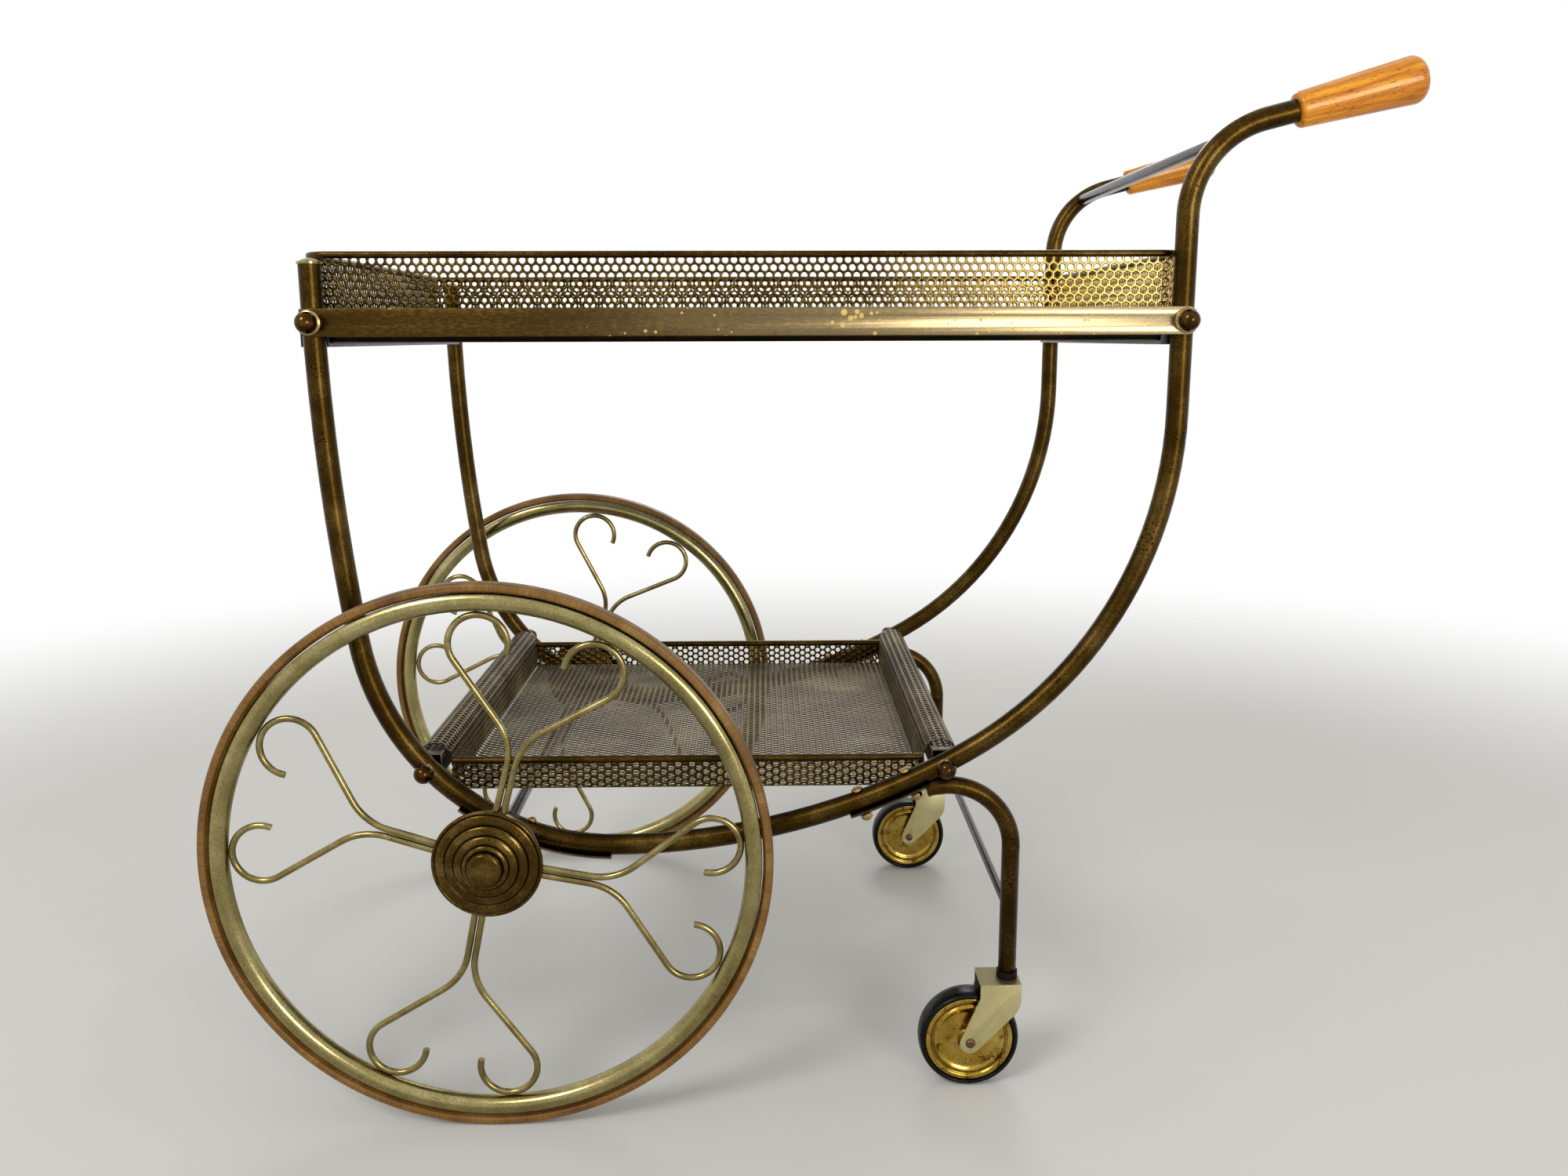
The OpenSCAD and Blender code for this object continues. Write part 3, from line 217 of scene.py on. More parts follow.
def agedMetal(name):   # clouds and grain give the tone, then wear, grime, pits and dust lie over it
    look, shared = agedFinishes[name], agedPattern
    made, tree = newMaterial(name)
    place = add(tree, "TexCoord").outputs["Object"]
    lined = add(tree, "Mapping", {"Vector": place, "Scale": look.get("stretch", (1, 1, 1))}).outputs["Vector"]
    detail, roughness = shared["cloudNoise"]
    cloud = add(tree, "TexNoise", {"Vector": lined, "Scale": look["cloud"], "Detail": detail,
                                   "Roughness": roughness}).outputs["Fac"]
    detail, roughness = shared["grainNoise"]
    grain = add(tree, "TexNoise", {"Vector": lined, "Scale": look["grain"], "Detail": detail,
                                   "Roughness": roughness}).outputs["Fac"]
    tone = add(tree, "Mix", {"Factor": shared["grainShare"], "A": cloud, "B": grain}).outputs["Result"]
    shades = list(zip(shared["stops"], (look["dark"], look["mid"], look["worn"])))
    colour = add(tree, "ValToRGB", {"Fac": tone}, stops=shades).outputs["Color"]
    covers = []   # what lies over the tone, from below upwards: how much of it, and its colour

    if "bare" in look:   # painted reflection: lighter colour towards the handle end along X
        ragged = shared["ragged"]
        along = add(tree, "SeparateXYZ", {"Vector": place}).outputs["X"]
        edge = add(tree, "Math", {0: cloud, 1: ragged, 2: along}, operation="MULTIPLY_ADD").outputs["Value"]
        bare = add(tree, "MapRange", {"Value": edge, "From Min": look["bareFrom"] + ragged / 2,
                                      "From Max": look["bareTo"] + ragged / 2, "To Max": shared["bareMost"]},
                   interpolation_type="SMOOTHSTEP").outputs["Result"]
        covers.append((bare, look["bare"]))
    # grooves darker: partly grime, partly painted shade
    if "shadeAndGrime" in look:
        covers.append((grooveShadeAndGrime(tree, place, look), look["shadeAndGrime"]))

    cells = add(tree, "TexVoronoi", {"Vector": place, "Scale": look["pits"]}).outputs["Distance"]
    patchy = add(tree, "TexNoise", {"Vector": place, "Scale": look["cloud"] * shared["patch"],
                                    "Detail": shared["patchDetail"]}).outputs["Fac"]
    low, high = shared["patchRange"]
    reach = add(tree, "MapRange", {"Value": patchy, "From Min": low, "From Max": high,
                                   "To Max": look["pitSize"]}).outputs["Result"]
    gap = add(tree, "Math", {0: reach, 1: cells}, operation="SUBTRACT").outputs["Value"]
    pit = add(tree, "MapRange", {"Value": gap, "From Max": shared["pitEdge"]}).outputs["Result"]
    covers.append((pit, look["pit"]))

    low, high = shared["grainRange"]
    rough = add(tree, "MapRange", {"Value": grain, "From Min": low, "From Max": high,
                                   "To Min": look["rough"][0], "To Max": look["rough"][1]}).outputs["Result"]
    rough = add(tree, "Math", {0: pit, 1: shared["pitRough"], 2: rough},
                operation="MULTIPLY_ADD").outputs["Value"]
    if "dust" in look:   # only on faces that look up
        facing = add(tree, "SeparateXYZ", {"Vector": add(tree, "NewGeometry").outputs["Normal"]}).outputs["Z"]
        low, high = shared["dustSlope"]
        dust = add(tree, "MapRange", {"Value": facing, "From Min": low, "From Max": high,
                                      "To Max": shared["dustMost"]}).outputs["Result"]
        rough = add(tree, "Math", {0: dust, 1: shared["dustRough"], 2: rough},
                    operation="MULTIPLY_ADD").outputs["Value"]
        covers.append((dust, look["dust"]))

    for cover, over in covers:
        colour = add(tree, "MixRGB", {"Fac": cover, "Color1": colour,
                                      "Color2": linear(over)}).outputs["Color"]
    dented = add(tree, "Math", {0: grain, 1: pit}, operation="SUBTRACT").outputs["Value"]
    bump = add(tree, "Bump", {"Height": dented, "Strength": look["bump"],
                              "Distance": shared["relief"]}).outputs["Normal"]
    closeMaterial(tree, {"Base Color": colour, "Metallic": 1, "Roughness": rough, "Normal": bump})
    return made


# Beech turned on a lathe, stained orange and varnished: short dark flecks along the grip under a hard gloss.
gripBeech = {
    "slope": 14.2,                           # degrees by which the grips slope, and the grain with them
    "figure": 210, "figureStretch": 0.06,    # cycles a metre across the grain, and their part along it
    "fleck": 1500, "fleckStretch": 0.13,     # flecks about 0.7 x 5 mm
    "shades": [(0.32, "#a35a04"), (0.5, "#cf7f08"), (0.68, "#eb9f1c")],
    "mark": "#5a2e04", "markRange": (0.61, 0.7),
    "rough": 0.4, "coat": 0.35, "coatRough": 0.05, "bump": 0.08, "relief": 0.0003,
}


def turnedBeech():
    look = gripBeech
    made, tree = newMaterial("turnedBeech")
    place = add(tree, "TexCoord").outputs["Object"]
    turn = (0, math.radians(look["slope"]), 0)
    alongGrip = add(tree, "Mapping", {"Vector": place, "Rotation": turn}).outputs["Vector"]
    wide, short = [add(tree, "Mapping", {"Vector": alongGrip, "Scale": (stretch, 1, 1)}).outputs["Vector"]
                   for stretch in (look["figureStretch"], look["fleckStretch"])]
    figure = add(tree, "TexNoise", {"Vector": wide, "Scale": look["figure"], "Detail": 5,
                                    "Distortion": 0.4}).outputs["Fac"]
    fleck = add(tree, "TexNoise", {"Vector": short, "Scale": look["fleck"], "Detail": 2}).outputs["Fac"]
    base = add(tree, "ValToRGB", {"Fac": figure}, stops=look["shades"]).outputs["Color"]
    low, high = look["markRange"]
    mark = add(tree, "MapRange", {"Value": fleck, "From Min": low, "From Max": high}).outputs["Result"]
    colour = add(tree, "MixRGB", {"Fac": mark, "Color1": base,
                                  "Color2": linear(look["mark"])}).outputs["Color"]
    bump = add(tree, "Bump", {"Height": fleck, "Strength": look["bump"],
                              "Distance": look["relief"]}).outputs["Normal"]
    closeMaterial(tree, {"Base Color": colour, "Roughness": look["rough"], "IOR": 1.5,
                         "Specular IOR Level": 0.25, "Coat Weight": look["coat"],
                         "Coat Roughness": look["coatRough"], "Normal": bump})
    return made


mouldedRubbers = {   # dust is the colour of the faint film on the skin
    # caster tyres: black rubber with a slight shine from the mould and from use
    "polishedTyreRubber": dict(skin="#030303", dust="#121110", rough=0.22, coat=0.03),
    # seals between legs and forks: very dark brown rubber, gone dull
    "sealRubber": dict(skin="#120a03", dust="#121110", rough=0.45, coat=0),
}
rubberSkin = {   # what both share
    "film": 120, "shades": (0.4, 0.9),             # cycles a metre; where skin and dust stand in the film
    "filmRange": (0.3, 0.7), "filmRough": 0.15,    # film over which the roughness grows, and by how much
    "bump": 0.05, "relief": 0.0005,
}


def mouldedRubber(name):
    look = mouldedRubbers[name]
    made, tree = newMaterial(name)
    place = add(tree, "TexCoord").outputs["Object"]
    film = add(tree, "TexNoise", {"Vector": place, "Scale": rubberSkin["film"], "Detail": 6}).outputs["Fac"]
    shades = list(zip(rubberSkin["shades"], (look["skin"], look["dust"])))
    colour = add(tree, "ValToRGB", {"Fac": film}, stops=shades).outputs["Color"]
    low, high = rubberSkin["filmRange"]
    dull = add(tree, "MapRange", {"Value": film, "From Min": low, "From Max": high, "To Min": look["rough"],
                                  "To Max": look["rough"] + rubberSkin["filmRough"]}).outputs["Result"]
    bump = add(tree, "Bump", {"Height": film, "Strength": rubberSkin["bump"],
                              "Distance": rubberSkin["relief"]}).outputs["Normal"]
    closeMaterial(tree, {"Base Color": colour, "Roughness": dull, "IOR": 1.52, "Specular IOR Level": 0.12,
                         "Coat Weight": look["coat"], "Coat Roughness": 0.15, "Normal": bump})
    return made


# Brown rubber band of the large wheels, worn matt: fine marks about 1 mm apart across its tread.
bandRubber = {
    "marks": (190, 160),            # cycles to a radian round the wheel, and to a metre along Y
    "cloud": 40, "cloudShare": 0.5,
    "shades": [(0.3, "#4b2e0c"), (0.5, "#745120"), (0.72, "#9a7c44")],
    "rough": 0.42, "bump": 0.15, "relief": 0.0004,
}


def wornBand():
    look = bandRubber
    made, tree = newMaterial("wornBandRubber")
    place = add(tree, "TexCoord").outputs["Object"]
    middle = [-c for c in wheel["axle"]]
    centred = add(tree, "Mapping", {"Vector": place, "Location": middle}).outputs["Vector"]
    split = add(tree, "SeparateXYZ", {"Vector": centred}).outputs
    angle = add(tree, "Math", {0: split["Z"], 1: split["X"]}, operation="ARCTAN2").outputs["Value"]
    tread = add(tree, "CombineXYZ", {"X": angle, "Y": split["Y"]}).outputs["Vector"]
    across = add(tree, "Mapping", {"Vector": tread, "Scale": (*look["marks"], 1)}).outputs["Vector"]
    marks = add(tree, "TexNoise", {"Vector": across, "Scale": 1, "Detail": 3,
                                   "Roughness": 0.65}).outputs["Fac"]
    cloud = add(tree, "TexNoise", {"Vector": place, "Scale": look["cloud"], "Detail": 4}).outputs["Fac"]
    tone = add(tree, "Mix", {"Factor": look["cloudShare"], "A": marks, "B": cloud}).outputs["Result"]
    colour = add(tree, "ValToRGB", {"Fac": tone}, stops=look["shades"]).outputs["Color"]
    bump = add(tree, "Bump", {"Height": marks, "Strength": look["bump"],
                              "Distance": look["relief"]}).outputs["Normal"]
    closeMaterial(tree, {"Base Color": colour, "Roughness": look["rough"], "IOR": 1.5,
                         "Specular IOR Level": 0.3, "Normal": bump})
    return made


metal = {name: agedMetal(name) for name in agedFinishes}
beech, band = turnedBeech(), wornBand()
tyreRubber, sealRubber = mouldedRubber("polishedTyreRubber"), mouldedRubber("sealRubber")
print("materials made:", len(bpy.data.materials))

sharpAngle = 34     # degrees between two faces from which their edge counts as sharp
flatAngle = 0.4     # degrees below which two faces of a CAD copy become one
mergeGap = 1e-6     # m between points that are merged
edgeSteps = 2       # facets of a broken edge


def showPiece(bm, name, body, finish, replaces, sharp=sharpAngle):
    mesh = bpy.data.meshes.new(name)
    bm.to_mesh(mesh)
    bm.free()
    mesh.shade_smooth()
    mesh.set_sharp_from_angle(angle=math.radians(sharp))
    mesh.materials.append(finish)
    piece = bpy.data.objects.new(name, mesh)
    bpy.context.scene.collection.objects.link(piece)
    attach(piece, body)
    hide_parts(*replaces)
    return piece


def cadCopy(node):   # a CAD piece's mesh, with its loose triangles joined into whole faces
    bm = bmesh.new()
    bm.from_mesh(nodes[node].data)
    bmesh.ops.remove_doubles(bm, verts=bm.verts, dist=mergeGap)
    bmesh.ops.dissolve_limit(bm, angle_limit=math.radians(flatAngle), verts=bm.verts, edges=bm.edges)
    return bm


def sharpEdges(bm):
    return [e for e in bm.edges if e.is_manifold and e.calc_face_angle(0) > math.radians(sharpAngle)]


def roundEdges(bm, edges, offset, steps):
    bmesh.ops.bevel(bm, geom=edges, offset=offset, offset_type="OFFSET", segments=steps, profile=0.5,
                    affect="EDGES", clamp_overlap=True, material=-1)


def eased(node, body, finish, edge):   # a CAD piece with its sharp edges broken
    bm = cadCopy(node)
    roundEdges(bm, sharpEdges(bm), edge, edgeSteps)
    showPiece(bm, node + "_eased", body, finish, [node])


def turnedPiece(profile, places, steps=96):   # (radius, height) in mm, spun round Y at each (centre, way out)
    bm = bmesh.new()
    for (x, y, z), way in places:
        spots = [bm.verts.new((x + r / 1000, y + way * h / 1000, z)) for r, h in profile]
        line = [bm.edges.new(pair) for pair in zip(spots, spots[1:])]
        bmesh.ops.spin(bm, geom=spots + line, cent=(x, y, z), axis=(0, 1, 0), angle=math.tau, steps=steps,
                       use_merge=True)
    bmesh.ops.remove_doubles(bm, verts=bm.verts, dist=mergeGap)
    bmesh.ops.recalc_face_normals(bm, faces=bm.faces)
    return bm


cornerSteps, cornerShare = 4, 0.45   # points of a rounded corner, and the most that it takes of either side


def softCorners(points, reach):   # an open profile with its corners rounded
    out = [points[0]]
    for a, b, c in zip(points, points[1:], points[2:]):
        a, b, c = Vector(a), Vector(b), Vector(c)
        near = min(reach, (a - b).length * cornerShare, (c - b).length * cornerShare)
        start, end = b + (a - b).normalized() * near, b + (c - b).normalized() * near
        for k in range(cornerSteps + 1):
            t = k / cornerSteps
            out.append(tuple(start * (1 - t) ** 2 + b * 2 * t * (1 - t) + end * t ** 2))
    return out + [points[-1]]


def mirrored(half):   # the other half of a profile, on its way back
    return [(r, -h) for r, h in reversed(half)]


# Profiles of turned pieces are radius and height in mm. A hub cap's height is from its foot.
hubCapShape = {
    "foot": 0.0027,                                                      # m from the wheel's middle plane
    "pocket": [(0, 11.46), (10.54, 11.46), (10.54, 2.4), (15.2, 2.4)],   # inside, over the axle nut
    "rim": [(15.2, 0), (41, 0)],
    "steps": [((41, 1.4), (39.2, 2.6)), ((38.4, 1.9), (31.5, 3.8)), ((30.8, 3.2), (24.6, 6.0)),
              ((23.9, 5.4), (18.0, 8.3)), ((17.4, 7.8), (13.9, 10.1)), ((13.4, 9.8), (10.2, 14.25))],
    "crown": (0, 14.2), "roundness": 7, "sharp": 50,
}


def bulge(low, high, steps):   # quarter of an oval from a steep foot to a flat top
    turns = [math.pi / 2 * k / steps for k in range(steps + 1)]
    return [(high[0] + (low[0] - high[0]) * math.cos(t), low[1] + (high[1] - low[1]) * math.sin(t))
            for t in turns]


def hubCap(side, way):   # spun steps, each rounder and higher than the one before
    profile = hubCapShape["pocket"] + hubCapShape["rim"]
    for foot, top in hubCapShape["steps"]:
        profile += bulge(foot, top, hubCapShape["roundness"])
    bm = turnedPiece(profile + [hubCapShape["crown"]], [(centreOf(wheel, way, hubCapShape["foot"]), way)])
    showPiece(bm, side + "_cap_spun", side + "_wheel", metal["spunBrassCap"],
              [side + "_hub_cap"], sharp=hubCapShape["sharp"])


discShape = {   # one half of a caster disc, whose height is from its middle plane
    "half": [(3.1, 12.4), (7.6, 12.4), (8.2, 8.2), (9.6, 7.4), (23.4, 7.4), (25.0, 7.9), (26.6, 8.8),
             (28.0, 8.8), (29.0, 7.3), (30.4, 7.3), (31.3, 8.6), (34.2, 8.9), (35.2, 8.2)],
    "corner": 0.8, "sharp": 60,
}


def casterDisc(side, way):
    half = softCorners(discShape["half"], discShape["corner"])
    bm = turnedPiece(half + mirrored(half) + [half[0]], [(centreOf(caster, way), 1)])
    showPiece(bm, side + "_disc_pressed", side + "_caster_wheel", metal["platedBrassDisc"],
              [side + "_caster_disc"], sharp=discShape["sharp"])


bandShape = {   # one half of a large wheel's tyre, whose height is from its middle plane
    "half": [(203.2, 0), (203.4, 2.4), (204.5, 3), (205, 6.2), (205.7, 6.8), (206.6, 7), (209, 6.95),
             (210.3, 6), (210.85, 3.8), (210.97, 0)],
    "corner": 0.5, "turns": 192, "sharp": 60,
}


def wheelTyre(side, way):   # a rubber band on the crown of the round rim
    half = softCorners(bandShape["half"], bandShape["corner"])
    bm = turnedPiece(half + mirrored(half[:-1]), [(centreOf(wheel, way), 1)], bandShape["turns"])
    showPiece(bm, side + "_tyre_band", side + "_wheel", band,
              [side + "_wheel_tyre"], sharp=bandShape["sharp"])


casterTyreShape = {   # one half of a caster tyre, whose height is from its middle plane
    "half": [(35.4, 0), (35.4, 9.4), (36.3, 10), (37.6, 9.8), (38.9, 8.4), (39.7, 5.6), (39.99, 2.6),
             (39.99, 0)],
    "corner": 0.8, "turns": 128, "sharp": 60,
}


def casterTyre(side, way):   # rounded shoulders, so that only a thin rim of it shows beside the disc
    half = softCorners(casterTyreShape["half"], casterTyreShape["corner"])
    bm = turnedPiece(half + mirrored(half[:-1]), [(centreOf(caster, way), 1)], casterTyreShape["turns"])
    showPiece(bm, side + "_tyre_moulded", side + "_caster_wheel", tyreRubber,
              [side + "_caster_tyre"], sharp=casterTyreShape["sharp"])


hubEdge = 0.0004   # m, broken edge of a hub

for side, way in sides.items():
    hubCap(side, way)
    wheelTyre(side, way)
    casterTyre(side, way)
    casterDisc(side, way)
    eased(side + "_wheel_hub", side + "_wheel", metal["spunBrassCap"], hubEdge)
print("wheels dressed")

# The ball nuts: X and Z of each and their foot's distance from the middle in m, then the radii of ball and
# ring and the height of the ball's middle in mm.
ballNuts = {
    "rail_ball_nuts": {"spots": [(-0.34658, 0.602), (0.2787, 0.602)], "foot": 0.2257,
                       "ball": 7.8, "ring": 9.0, "middle": 5.3},
    "bar_ball_nuts": {"spots": [(-0.28307, 0.268), (0.11275, 0.268)], "foot": 0.2232,
                      "ball": 7.5, "ring": 6.5, "middle": 6.3},
}
ballShape = {   # in mm
    "neck": (4, 1.2), "arcSteps": 20, "ballTurns": 40,          # the ball starts at its neck, in the ring
    "bore": 3.2, "thick": 1.5, "ringTurns": 48,
    "ringEdge": [(-0.3, 0), (0, 0.4), (0, 1.0), (-0.4, 1.5)],   # from the ring's radius
    "sharp": 60,
}


def ballNut(node, nut):
    places = [((x, way * nut["foot"], z), way) for x, z in nut["spots"] for way in sides.values()]
    radius, middle, neck, bore = nut["ball"], nut["middle"], ballShape["neck"], ballShape["bore"]
    first = math.asin((neck[1] - middle) / radius)
    arc = [first + (math.pi / 2 - first) * k / ballShape["arcSteps"] for k in range(ballShape["arcSteps"])]
    ball = [neck] + [(radius * math.cos(a), middle + radius * math.sin(a)) for a in arc]
    ball.append((0, middle + radius))
    edge = [(nut["ring"] + r, h) for r, h in ballShape["ringEdge"]]
    ring = [(bore, 0)] + edge + [(bore, ballShape["thick"]), (bore, 0)]
    for profile, turns, name, finish in ((ball, ballShape["ballTurns"], "_balls", "brownedBrassBall"),
                                         (ring, ballShape["ringTurns"], "_rings", "nickelScrew")):
        showPiece(turnedPiece(profile, places, turns), node + name, "frame", metal[finish],
                  [node], ballShape["sharp"])


forkShape = {   # in m and degrees
    "corner": 0.007, "cornerSteps": 6,                     # rounded outline of the side plates
    "plate": 0.0024, "below": 0.0875, "turn": 20,          # its edges are shorter and lower, and turn more
    "fold": 0.0018, "foldSteps": 4, "foldDepth": 0.0002,   # folds from the top plate to the sides
    "edge": 0.0008, "straight": 0.98,                      # broken edge; part of an edge's length along an axis
}


def runsAlong(edge, axis):   # whether an edge lies along X (0), Y (1) or Z (2)
    a, b = edge.verts
    return abs(a.co[axis] - b.co[axis]) > edge.calc_length() * forkShape["straight"]


def casterFork(side):   # pressed fork: its outline gets round corners, and then its edges are broken
    node = side + "_caster_fork"
    bm = cadCopy(node)
    bends = [e for e in bm.edges if e.is_manifold and e.calc_length() < forkShape["plate"] and runsAlong(e, 1)
             and max(v.co.z for v in e.verts) < forkShape["below"]
             and e.calc_face_angle_signed(0) > math.radians(forkShape["turn"])]
    roundEdges(bm, bends, forkShape["corner"], forkShape["cornerSteps"])
    top = max(v.co.z for v in bm.verts) - forkShape["foldDepth"]
    folds = [e for e in sharpEdges(bm) if min(v.co.z for v in e.verts) > top and runsAlong(e, 0)]
    roundEdges(bm, folds, forkShape["fold"], forkShape["foldSteps"])
    roundEdges(bm, sharpEdges(bm), forkShape["edge"], edgeSteps)
    showPiece(bm, node + "_pressed", side + "_caster", metal["champagneNickel"], [node])


for node, nut in ballNuts.items():
    ballNut(node, nut)
for side in sides:
    casterFork(side)
print("nuts and forks made")

sheet = {   # the trays' pierced sheet, in m: round holes on a staggered pitch
    "pitch": 0.00635, "hole": 0.00475, "thick": 0.001,
    "ring": 0.08,                # each hexagon's sides are inset by this part of the pitch, round its hole
    "weld": 1e-5, "sharp": 40,   # gap within which neighbouring hexagons are joined
}


def everything(bm):
    return bm.verts[:] + bm.edges[:] + bm.faces[:]


def pierced(across, along, shift=(0, 0)):   # a flat sheet, with a hole of its grid at shift
    # Neighbours in a row lie along X, and rows follow each other along Y.
    pitch, row = sheet["pitch"], sheet["pitch"] * math.sqrt(0.75)
    bm = bmesh.new()
    bmesh.ops.create_circle(bm, cap_ends=True, segments=6, radius=pitch / math.sqrt(3))
    bmesh.ops.subdivide_edges(bm, edges=bm.edges[:], cuts=1)
    bmesh.ops.inset_region(bm, faces=bm.faces[:], thickness=pitch * sheet["ring"], use_boundary=True)
    middle = max(bm.faces, key=lambda f: len(f.verts))
    for spot in middle.verts:
        spot.co = spot.co.normalized() * sheet["hole"] / 2
    bmesh.ops.delete(bm, geom=[middle], context="FACES_ONLY")
    column, line = [math.floor((low - lead) / step) - 1 for low, lead, step in
                    ((across[0], shift[0], pitch), (along[0], shift[1], 2 * row))]
    bmesh.ops.translate(bm, verts=bm.verts, vec=(column * pitch + shift[0], line * 2 * row + shift[1], 0))
    second = bmesh.ops.duplicate(bm, geom=everything(bm))["geom"]
    bmesh.ops.translate(bm, verts=[v for v in second if isinstance(v, bmesh.types.BMVert)],
                        vec=(pitch / 2, row, 0))
    for (low, high), step in ((across, (pitch, 0, 0)), (along, (0, 2 * row, 0))):
        copies = math.ceil((high - low) / Vector(step).length) + 2
        bmesh.ops.spin(bm, geom=everything(bm), axis=(0, 0, 1), angle=0, steps=copies, dvec=step,
                       use_duplicate=True)
    bmesh.ops.remove_doubles(bm, verts=bm.verts, dist=sheet["weld"])
    for outwards, (low, high) in (((1, 0, 0), across), ((0, 1, 0), along)):
        trim(bm, Vector(outwards) * low, -Vector(outwards))
        trim(bm, Vector(outwards) * high, Vector(outwards))
    return bm


def trim(bm, place, outwards):
    bmesh.ops.bisect_plane(bm, geom=everything(bm), dist=mergeGap, plane_co=place, plane_no=outwards,
                           clear_outer=True)


def follow(route, start, s):   # where a route of (length, turn in degrees) is after s, and its heading
    x, y, heading = start
    for length, turn in route:
        part = min(s, length)
        if turn:
            radius = length / math.radians(turn)
            end = heading + part / radius
            x += radius * (math.sin(end) - math.sin(heading))
            y -= radius * (math.cos(end) - math.cos(heading))
            heading = end
        else:
            x, y = x + part * math.cos(heading), y + part * math.sin(heading)
        s -= part
        if s <= 0:
            break
    return x, y, heading


def showSheet(bm, name, body, replaces, finish):
    bmesh.ops.recalc_face_normals(bm, faces=bm.faces)
    piece = showPiece(bm, name, body, metal[finish], replaces, sharp=sheet["sharp"])
    wall = piece.modifiers.new("wall", "SOLIDIFY")
    wall.thickness, wall.offset = sheet["thick"], 0


topTray = {   # outer faces of the walls and middle of the floor's sheet, in m
    "x": (-0.3558, 0.2828), "y": 0.2033, "floor": 0.5885, "top": 0.6495, "corner": 0.018,
    "holes": (-0.28995, 0.64040),   # X and Z of one hole of the near wall
    "fold": 0.003, "lap": 0.0015,   # radius of the fold at the floor, and its flat start on the floor
    "margin": 0.59365,              # top of the plain fold, where the holes start
    "inset": 0.004,                 # of the pierced floor, the fold makes the rest
    "cornerCuts": (22.5, 45, 67.5), "floorParts": 4, "wallParts": 4, "foldGrid": (512, 12),
}


def topTrayFloor():
    inset = topTray["inset"]
    (x0, x1), y, cut = topTray["x"], topTray["y"] - inset, topTray["corner"] - inset
    x0, x1 = x0 + inset, x1 - inset
    parts = topTray["floorParts"]
    marks = [x0 + (x1 - x0) * k / parts for k in range(parts + 1)]
    for k, (a, b) in enumerate(zip(marks, marks[1:])):
        bm = pierced((a, b), (-y, y), topTray["holes"])
        for endX, outX in ((x0, -1), (x1, 1)):
            if not a <= endX - outX * cut <= b:   # only the end parts have corners
                continue
            for outY in (-1, 1):
                centre = Vector((endX - outX * cut, outY * (y - cut), 0))
                for turn in topTray["cornerCuts"]:
                    turn = math.radians(turn)
                    out = Vector((outX * math.cos(turn), outY * math.sin(turn), 0))
                    trim(bm, centre + out * cut, out)
        bmesh.ops.translate(bm, verts=bm.verts, vec=(0, 0, topTray["floor"]))
        showSheet(bm, "top_floor_%d" % (k + 1), "top_tray", ["top_tray"], "lacqueredBrassSheet")


def topTrayFold(route, start, whole):   # plain margin of the sheet, folded up from the floor all round
    fold, lap, height = topTray["fold"], topTray["lap"], topTray["margin"] - topTray["floor"]
    section = [(lap, 0), (fold * math.pi / 2, 90), (height - fold, 0)]
    deep = sum(length for length, _ in section)
    bm = bmesh.new()
    around, upwards = topTray["foldGrid"]
    bmesh.ops.create_grid(bm, x_segments=around, y_segments=upwards, size=0.5)
    for spot in bm.verts:
        s, t = (spot.co.x + 0.5) * whole, (spot.co.y + 0.5) * deep
        x, y, heading = follow(route, start, s)
        out, up, _ = follow(section, (-fold - lap, 0, 0), t)
        spot.co = (x + math.sin(heading) * out, y - math.cos(heading) * out, topTray["floor"] + up)
    bmesh.ops.remove_doubles(bm, verts=bm.verts, dist=mergeGap)
    # the fold's finish is painted shade, nearly black
    showSheet(bm, "top_fold", "top_tray", ["top_tray"], "paintedShadeFold")


def topTrayWall():
    half = sheet["thick"] / 2
    (x0, x1), y, bend = topTray["x"], topTray["y"] - half, topTray["corner"] - half
    long, short = x1 - x0 - 2 * half - 2 * bend, 2 * (y - bend)
    turn = (bend * math.pi / 2, 90)
    start = (x0 + half + bend, -y, 0)   # near side, from the front corner, then round
    route = [(long, 0), turn, (short, 0), turn, (long, 0), turn, (short, 0), turn]
    whole = sum(length for length, _ in route)
    topTrayFold(route, start, whole)
    shift = (topTray["holes"][0] - start[0], topTray["holes"][1])
    parts = topTray["wallParts"]
    for k in range(parts):
        bm = pierced((whole * k / parts, whole * (k + 1) / parts), (topTray["margin"], topTray["top"]), shift)
        for spot in bm.verts:
            s, z, _ = spot.co
            x, y, _ = follow(route, start, s)
            spot.co = (x, y, z)
        showSheet(bm, "top_gallery_%d" % (k + 1), "top_tray", ["top_tray"], "piercedBrassSheet")


lowTray = {   # outer faces, in m
    "x": (-0.27057, 0.10025), "y": 0.194, "floor": 0.2435, "sideTop": 0.2655,
    "barZ": 0.268, "roll": 0.013, "lip": 0.001,   # middle of the bars, radius of the rolls over them, lip
    "fold": 0.003, "holesZ": 0.2590,              # radius of the fold at the floor, one row of the sides
    "sheetParts": 3,
}


